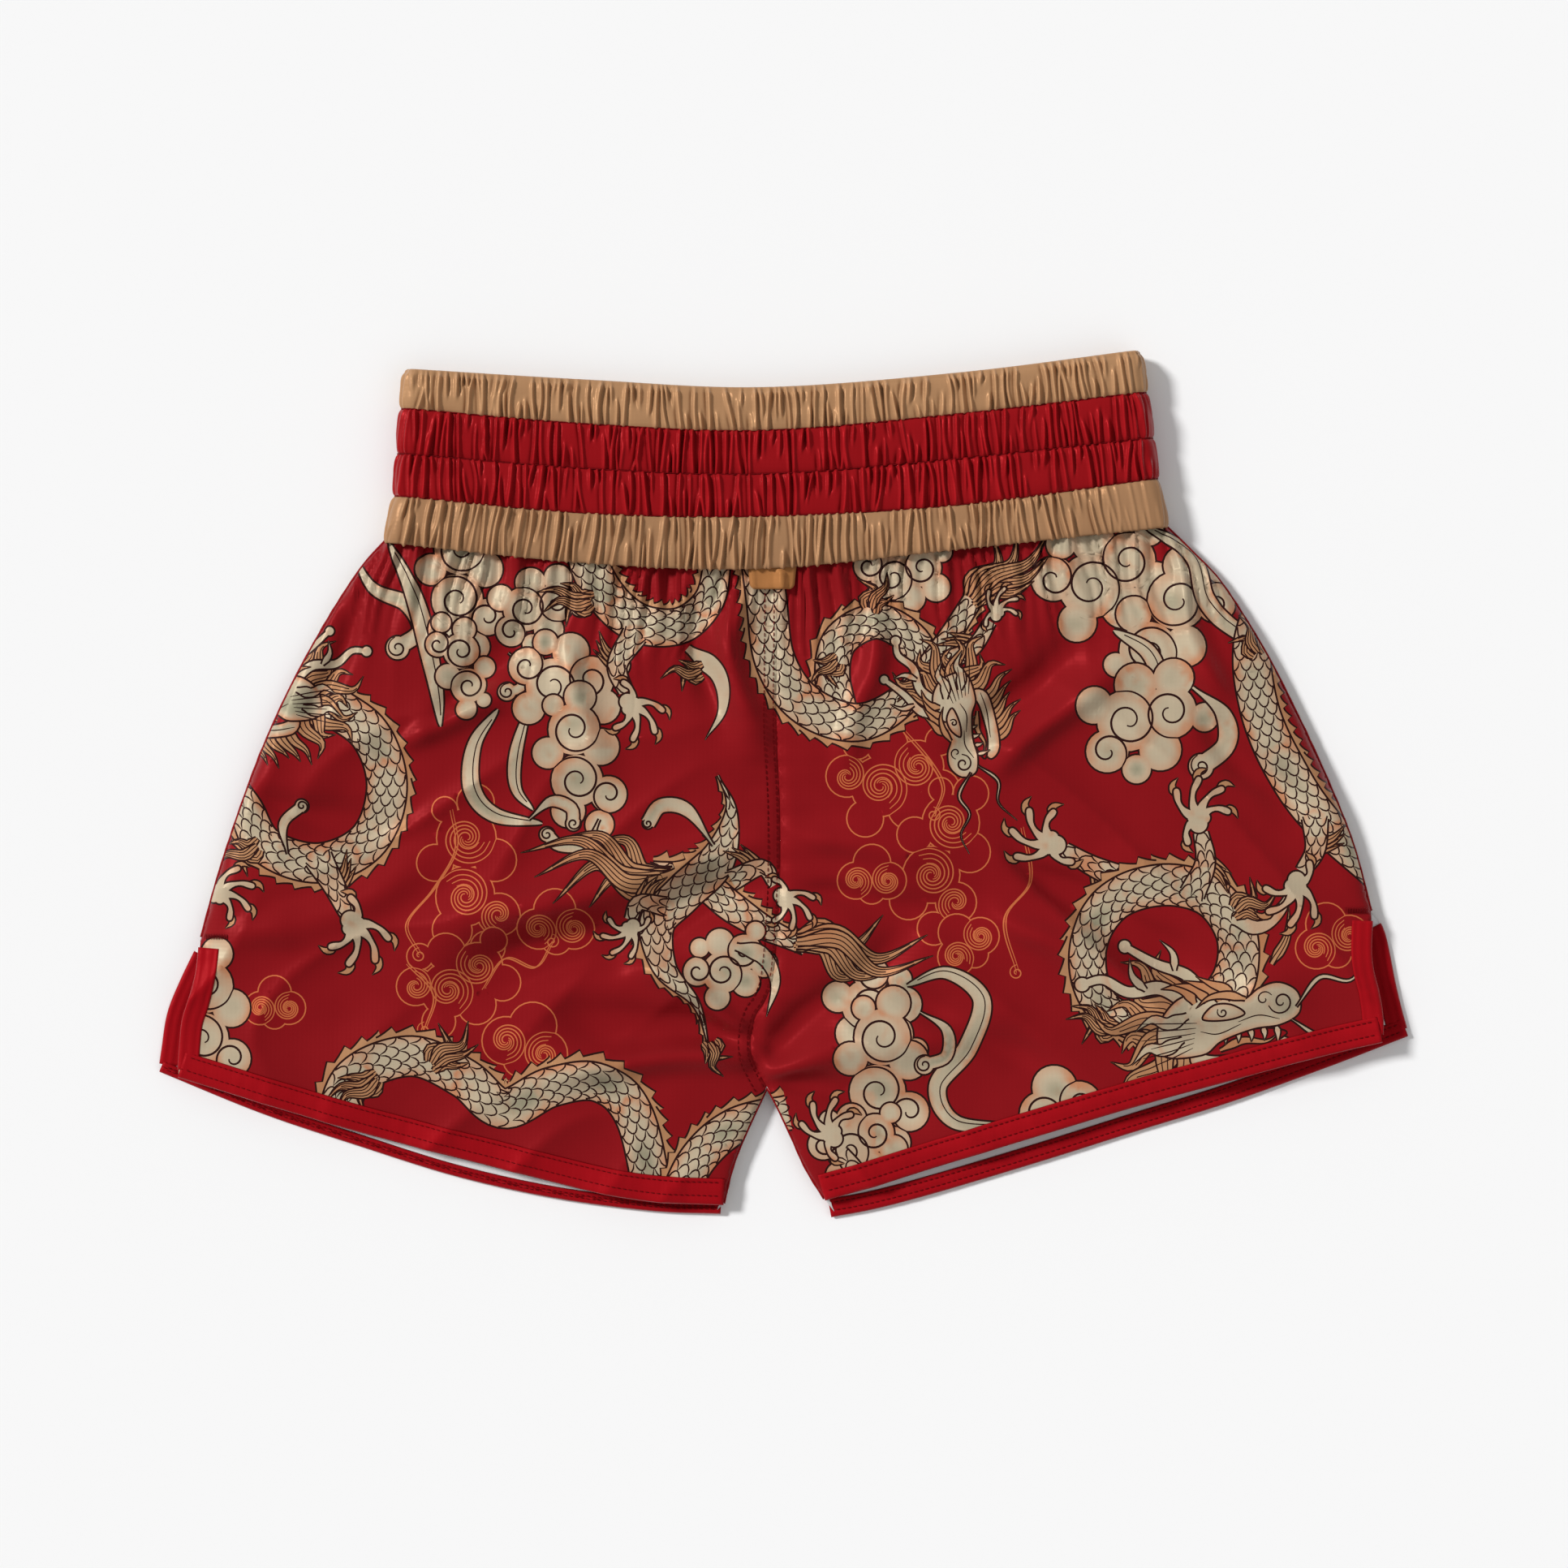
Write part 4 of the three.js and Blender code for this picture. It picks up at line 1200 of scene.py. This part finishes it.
def sweep(name, line, section, height, material):
    """A closed piece swept along a line. Its section is distances to the left and heights over a surface."""
    n = normals(line)
    rows = []
    for d, h in section:
        p = line + n * np.reshape(d, (-1, 1))
        rows.append(np.column_stack([p, height(p[:, 0], p[:, 1]) + h]))
    # The section runs anticlockwise, seen along the line, so that every face looks outwards.
    d, h = (np.array([np.mean(part) for part in parts]) for parts in zip(*section))
    if np.sum(d * np.roll(h, -1) - h * np.roll(d, -1)) < 0:
        rows.reverse()
    size = len(rows)
    last = (len(line) - 1) * size
    vertices = np.stack(rows, 1).reshape(-1, 3)
    vertices[:, 2] = np.maximum(vertices[:, 2], 0.04)
    faces = loop_faces(len(line), size)[:last]
    faces += [tuple(range(size))[::-1], tuple(range(last, last + size))]
    return mesh_object(name, vertices, faces, [material], "legs")


def binding(name, line, inward, height, top, bottom):
    """Tape folded over a cloth edge. top and bottom are the widths it covers above and below."""
    line = resample(line, 1.5)
    s = lengths(line)
    pucker = 0.16 * ripple(s, s * 0, 7, len(name)) + 0.1 * ripple(s, s * 0, 3.2, len(name) + 1)
    # The section, as distance in from the edge and height over the middle of the cloth.
    upper = [(top, 0.32), (top - 0.5, 0.75), (top - 1.2, 0.9), (top - 1.9, 0.62), (top - 2.8, 0.98),
             (top * 0.44, 1.12), (top * 0.3, 0.72), (top * 0.2, 1.05), (0.6, 1.0), (-0.35, 0.7), (-0.8, 0.0)]
    lower = [(-0.4, -0.6), (0.8, -0.85), (bottom * 0.5, -0.75), (bottom, -0.6), (bottom, -0.28)]
    closing = [(1.2, -0.24), (0.3, 0.0), (1.2, 0.24)]
    section = [(inward * d, h * (1 + pucker) if h > 0.5 else h) for d, h in upper + lower + closing]
    return sweep(name, line, section, height, BINDING)


def stitches(name, line, height, pitch=2.6, long=1.9, wide=0.42, crosswise=False):
    """A row of separate stitches, along the line or crosswise to it."""
    line = resample(np.asarray(line, float), pitch)
    along = np.gradient(line[:, :2], axis=0)
    along /= np.linalg.norm(along, axis=1)[:, None]
    if crosswise:
        along = np.column_stack([-along[:, 1], along[:, 0]])
    across = np.column_stack([-along[:, 1], along[:, 0]])
    vertices, faces = [], []
    # One stitch: its five sections along it, as place, width and height, and the four points of each.
    sections = ((-0.5, 0.3, 0.0), (-0.3, 0.9, 0.16), (0, 1.0, 0.22), (0.3, 0.9, 0.16), (0.5, 0.3, 0.0))
    one = loop_faces(5, 4)[:16] + [(3, 2, 1, 0), (16, 17, 18, 19)]
    for (x, y), a, b in zip(line[:, :2], along, across):
        faces += [tuple(len(vertices) + i for i in face) for face in one]
        for f, w, h in sections:
            for aside, up in ((0.5, -0.1), (0.28, 0.8), (-0.28, 0.8), (-0.5, -0.1)):
                px = x + a[0] * f * long + b[0] * aside * w * wide
                py = y + a[1] * f * long + b[1] * aside * w * wide
                vertices.append((px, py, h + up * w * wide * 0.7))
    vertices = np.array(vertices)
    vertices[:, 2] += height(vertices[:, 0], vertices[:, 1])
    return mesh_object(name, vertices, faces, [THREAD], "legs")


def roll(name, line, radius, steps=10):
    """A thin rolled seam along a line."""
    line = resample(line, 2.0)
    s = lengths(line)
    r = radius * (1 + 0.12 * ripple(s, s * 0, 9, 3))
    turn = TURN * np.arange(steps) / steps
    section = [(r * math.cos(a), r * math.sin(a)) for a in turn]
    return sweep(name, line, section, lambda x, y: SEAM_Z - SEAM_PLY / 2 + 0 * x, RED_SATIN)


def strip(name, line, low, high, height):
    """A seam allowance: a flat strip from low to high millimetres to the left of a line."""
    middle, thick = (low + high) / 2, 0.5
    section = ((low, 0), (low, thick), (middle, thick * 1.2), (high, thick), (high, 0), (middle, 0))
    return sweep(name, resample(line, 2.0), section, height, REVERSE)


# ---------------------------------------------------------------- assembly
draw()
MIRRORED = [(kind, polygon * (-1, 1) + (9, -6)) for kind, polygon in ART]
built = {}


def keep(obj, *nodes):
    """Remembers a piece and the CAD nodes that it stands for."""
    built[obj.name] = (obj, nodes)


for side in SIDES:
    inward = -SIGN[side]
    keep(panel(side, "front", ART), f"{side}_front_panel")
    keep(panel(side, "back", MIRRORED), f"{side}_back_panel")
    keep(roll(f"{side}_side_seam_roll", curve(SIDE[side]), 0.9), f"{side}_side_seam")
    keep(roll(f"{side}_inseam_roll", curve(INSEAM[side]), 0.8), f"{side}_inseam")
    # The widths of the hem's tape and of the vent's, and where along its line the vent's tape starts.
    for layer, height, wide, vent_wide, first in (
        ("front", front_z, 11.5, 9.0, 3),
        ("back", back_z, {"right": 4.6, "left": 7.8}[side], 8.5, 5),
    ):
        part = f"{side}_{layer}"
        hem = curve(HEM[side, layer])
        # The hem goes over the end of the vent's tape.
        vent = resample(curve(VENT[side, layer]), 1.5)[first:-2]
        keep(binding(f"{part}_vent_tape", vent, inward, height, vent_wide, 8.0), f"{part}_vent_binding")
        keep(binding(f"{part}_hem_tape", hem, inward, over(height, 0.35), wide, 10.0), f"{part}_hem_binding")
        for k, (d, nodes) in enumerate(((wide - 1.9, [f"{part}_hem_stitching"]), (wide * 0.3, []))):
            stitched = (hem + normals(hem) * inward * d)[2:-2]
            keep(stitches(f"{part}_hem_stitch_{k}", stitched, over(height, 1.3)), *nodes)
    top = np.array(SIDE[side][-1])
    bar = [top + (12 * inward, 0.5), top + (2.0 * inward, 0.5)]
    tack = stitches(f"{side}_bartack", bar, over(front_z, CLOTH / 2 + 0.8), 0.75, 2.6, 0.5, crosswise=True)
    keep(tack, f"{side}_vent_bartack")

centre = curve(CENTRE)[2:-1]
for d, node in ((-1.4, "inner"), (-5.6, "outer")):
    row = stitches(f"front_seam_stitch_{node}", centre + normals(centre) * d, over(front_z, CLOTH / 2 + 0.12))
    keep(row, f"centre_front_topstitch_{node}")
seam = centre[4:-4]
waist_line = curve(WAIST[4])[6:-6]
on_back = over(back_z, CLOTH / 2 + 0.3)
keep(strip("front_seam_allowance", seam, -6.2, 0, over(front_z, -2.4)), "centre_front_seam")
keep(strip("back_seam_allowance", seam, -6.2, 0, on_back), "centre_back_seam")
under_front = over(lambda x, y: front_z(x, y).clip(10), -3.4)
keep(strip("front_waist_allowance", waist_line, -7, -1, under_front), "front_waist_seam")
keep(strip("back_waist_allowance", waist_line, -7, -1, on_back), "back_waist_seam")

# The waistband.
for row in range(4):
    keep(band_row(row), f"waistband_front_row_{row + 1}", f"waistband_back_row_{row + 1}")

for k in range(1, 4):
    thread = mesh_object(f"waistband_thread_{k}", *thread_loop(k), [THREAD], "waistband")
    keep(thread, f"waistband_stitching_{k}")


def facing():
    """The pleated inner side of the waistband."""
    columns, steps = 700, 16
    s = np.arange(columns) / columns
    pleat = gathers(s * AROUND, 260, 6.5)
    down = np.linspace(0.06, 3.94, steps)
    outer = [band_point(s, v, 3.95) for v in down]
    inner = [band_point(s, v, 3.5 - 0.5 * pleat) for v in down[::-1]]
    return np.stack(outer + inner, 1).reshape(-1, 3), loop_faces(columns, 2 * steps)


keep(mesh_object("waistband_facing", *facing(), [GOLD_SATIN], "waistband"),
     "waistband_front_facing", "waistband_back_facing")


def tab():
    """The tab below the middle of the waistband."""
    middle_x, long = -5.4, 11.5
    v, u = np.meshgrid(np.arange(13) / 12, np.arange(15) / 7 - 1, indexing="ij")
    half = 11.2 - 1.2 * v - 1.6 * (np.maximum(v - 0.82, 0) / 0.18) ** 2
    x = middle_x + u * half
    y = float(waist_y(4, middle_x)) + 2.0 - long * v
    from_edge = np.minimum(np.minimum(1 - np.abs(u), 1 - v), 0.12).clip(0) / 0.12
    thick = 0.25 + 0.45 * np.sqrt(from_edge) + 0.12 * np.sin(9 * u + 3 * v)
    vertices = np.vstack([np.stack([x, y, z], -1).reshape(-1, 3) for z in (thick, -thick)])
    at = np.arange(v.size).reshape(v.shape)
    quads = np.stack([at[:-1, :-1], at[1:, :-1], at[1:, 1:], at[:-1, 1:]], -1).reshape(-1, 4)
    rim = np.concatenate([at[0], at[1:, -1], at[-1, -2::-1], at[-2:0:-1, 0]])
    onward = np.roll(rim, -1)
    sides = np.stack([rim, onward, onward + v.size, rim + v.size], 1)
    faces = np.vstack([quads, quads[:, ::-1] + v.size, sides]).tolist()
    height = front_z(vertices[:, 0], vertices[:, 1]).clip(10.5) + 1.9
    # Its top is sewn in under the waistband.
    tucked = smooth(vertices[:, 1] - waist_y(4, vertices[:, 0]), -2.5, 0)
    vertices[:, 2] += height + (np.minimum(height, 13.4) - height) * tucked
    return mesh_object("gold_tab", vertices, faces, [TAB_SATIN], "legs")


keep(tab(), "centre_tab")

# The elastics stay as the CAD part has them.
for k in range(1, 5):
    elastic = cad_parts[f"elastic_row_{k}"]
    elastic.data.materials.clear()
    elastic.data.materials.append(ELASTIC)


# ---------------------------------------------------------------- floor, light and camera
def stage():
    """The pale floor, the two lights and the camera straight above."""
    bpy.ops.mesh.primitive_plane_add(size=40, location=(0, 0, 0))
    floor = bpy.context.object
    floor.name = "floor"
    material = bpy.data.materials.new("pale_floor")
    material.use_nodes = True
    shader = material.node_tree.nodes["Principled BSDF"]
    shader.inputs["Base Color"].default_value = (0.93, 0.93, 0.93, 1)
    shader.inputs["Roughness"].default_value = 0.95
    shader.inputs["Specular IOR Level"].default_value = 0.1
    floor.data.materials.append(material)
    scene = bpy.context.scene
    scene.world = bpy.data.worlds.new("studio")
    scene.world.use_nodes = True
    sky = scene.world.node_tree.nodes["Background"]
    sky.inputs["Color"].default_value = (1, 1, 1, 1)
    sky.inputs["Strength"].default_value = 0.36
    scene.view_settings.view_transform = "Standard"
    # Each light: where it comes from, how wide it looks and its strength.
    lights = (("key", (-1.12, 0.55, 1.0), 11, 2.9), ("fill", (1, -0.6, 1.3), 50, 0.3))
    for name, place, width, power in lights:
        light = bpy.data.lights.new(name, "SUN")
        light.angle = math.radians(width)
        light.energy = power
        obj = bpy.data.objects.new(name, light)
        obj.rotation_euler = Vector(place).to_track_quat("Z", "Y").to_euler()
        scene.collection.objects.link(obj)
    camera = bpy.data.cameras.new("camera")
    camera.lens = 100
    camera.sensor_width = 36
    view_width, view_height = 0.7148, 0.010  # metres in view, and how high above the floor
    obj = bpy.data.objects.new("camera", camera)
    obj.location = (0, 0, view_width * camera.lens / camera.sensor_width + view_height)
    scene.collection.objects.link(obj)
    scene.camera = obj


def declare_cloth():
    """Lists the pieces sewn to the front panels and to the left back panel."""
    # The pieces sewn to one panel, besides the edging that every panel has.
    sewn = {("left", "back"): ["back_seam_allowance", "back_waist_allowance"]}
    for side in SIDES:
        sewn[side, "front"] = [f"{side}_side_seam_roll", f"{side}_inseam_roll", f"{side}_bartack"]
    sewn["left", "front"] += ["front_seam_stitch_inner", "front_seam_stitch_outer", "front_seam_allowance",
                              "front_waist_allowance"]


# Leg pieces that reach past this y, in metres, are not attached to the legs.
FOLD_START = (0, 0.076, 0)

stage()
for name, (obj, nodes) in built.items():
    top_y = max(v.co.y for v in obj.data.vertices)
    if obj["rides"] == "legs" and top_y > FOLD_START[1]:
        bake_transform(obj)
    else:
        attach(obj, obj["rides"])
    del obj["rides"]
    if nodes:
        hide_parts(*nodes)
declare_cloth()
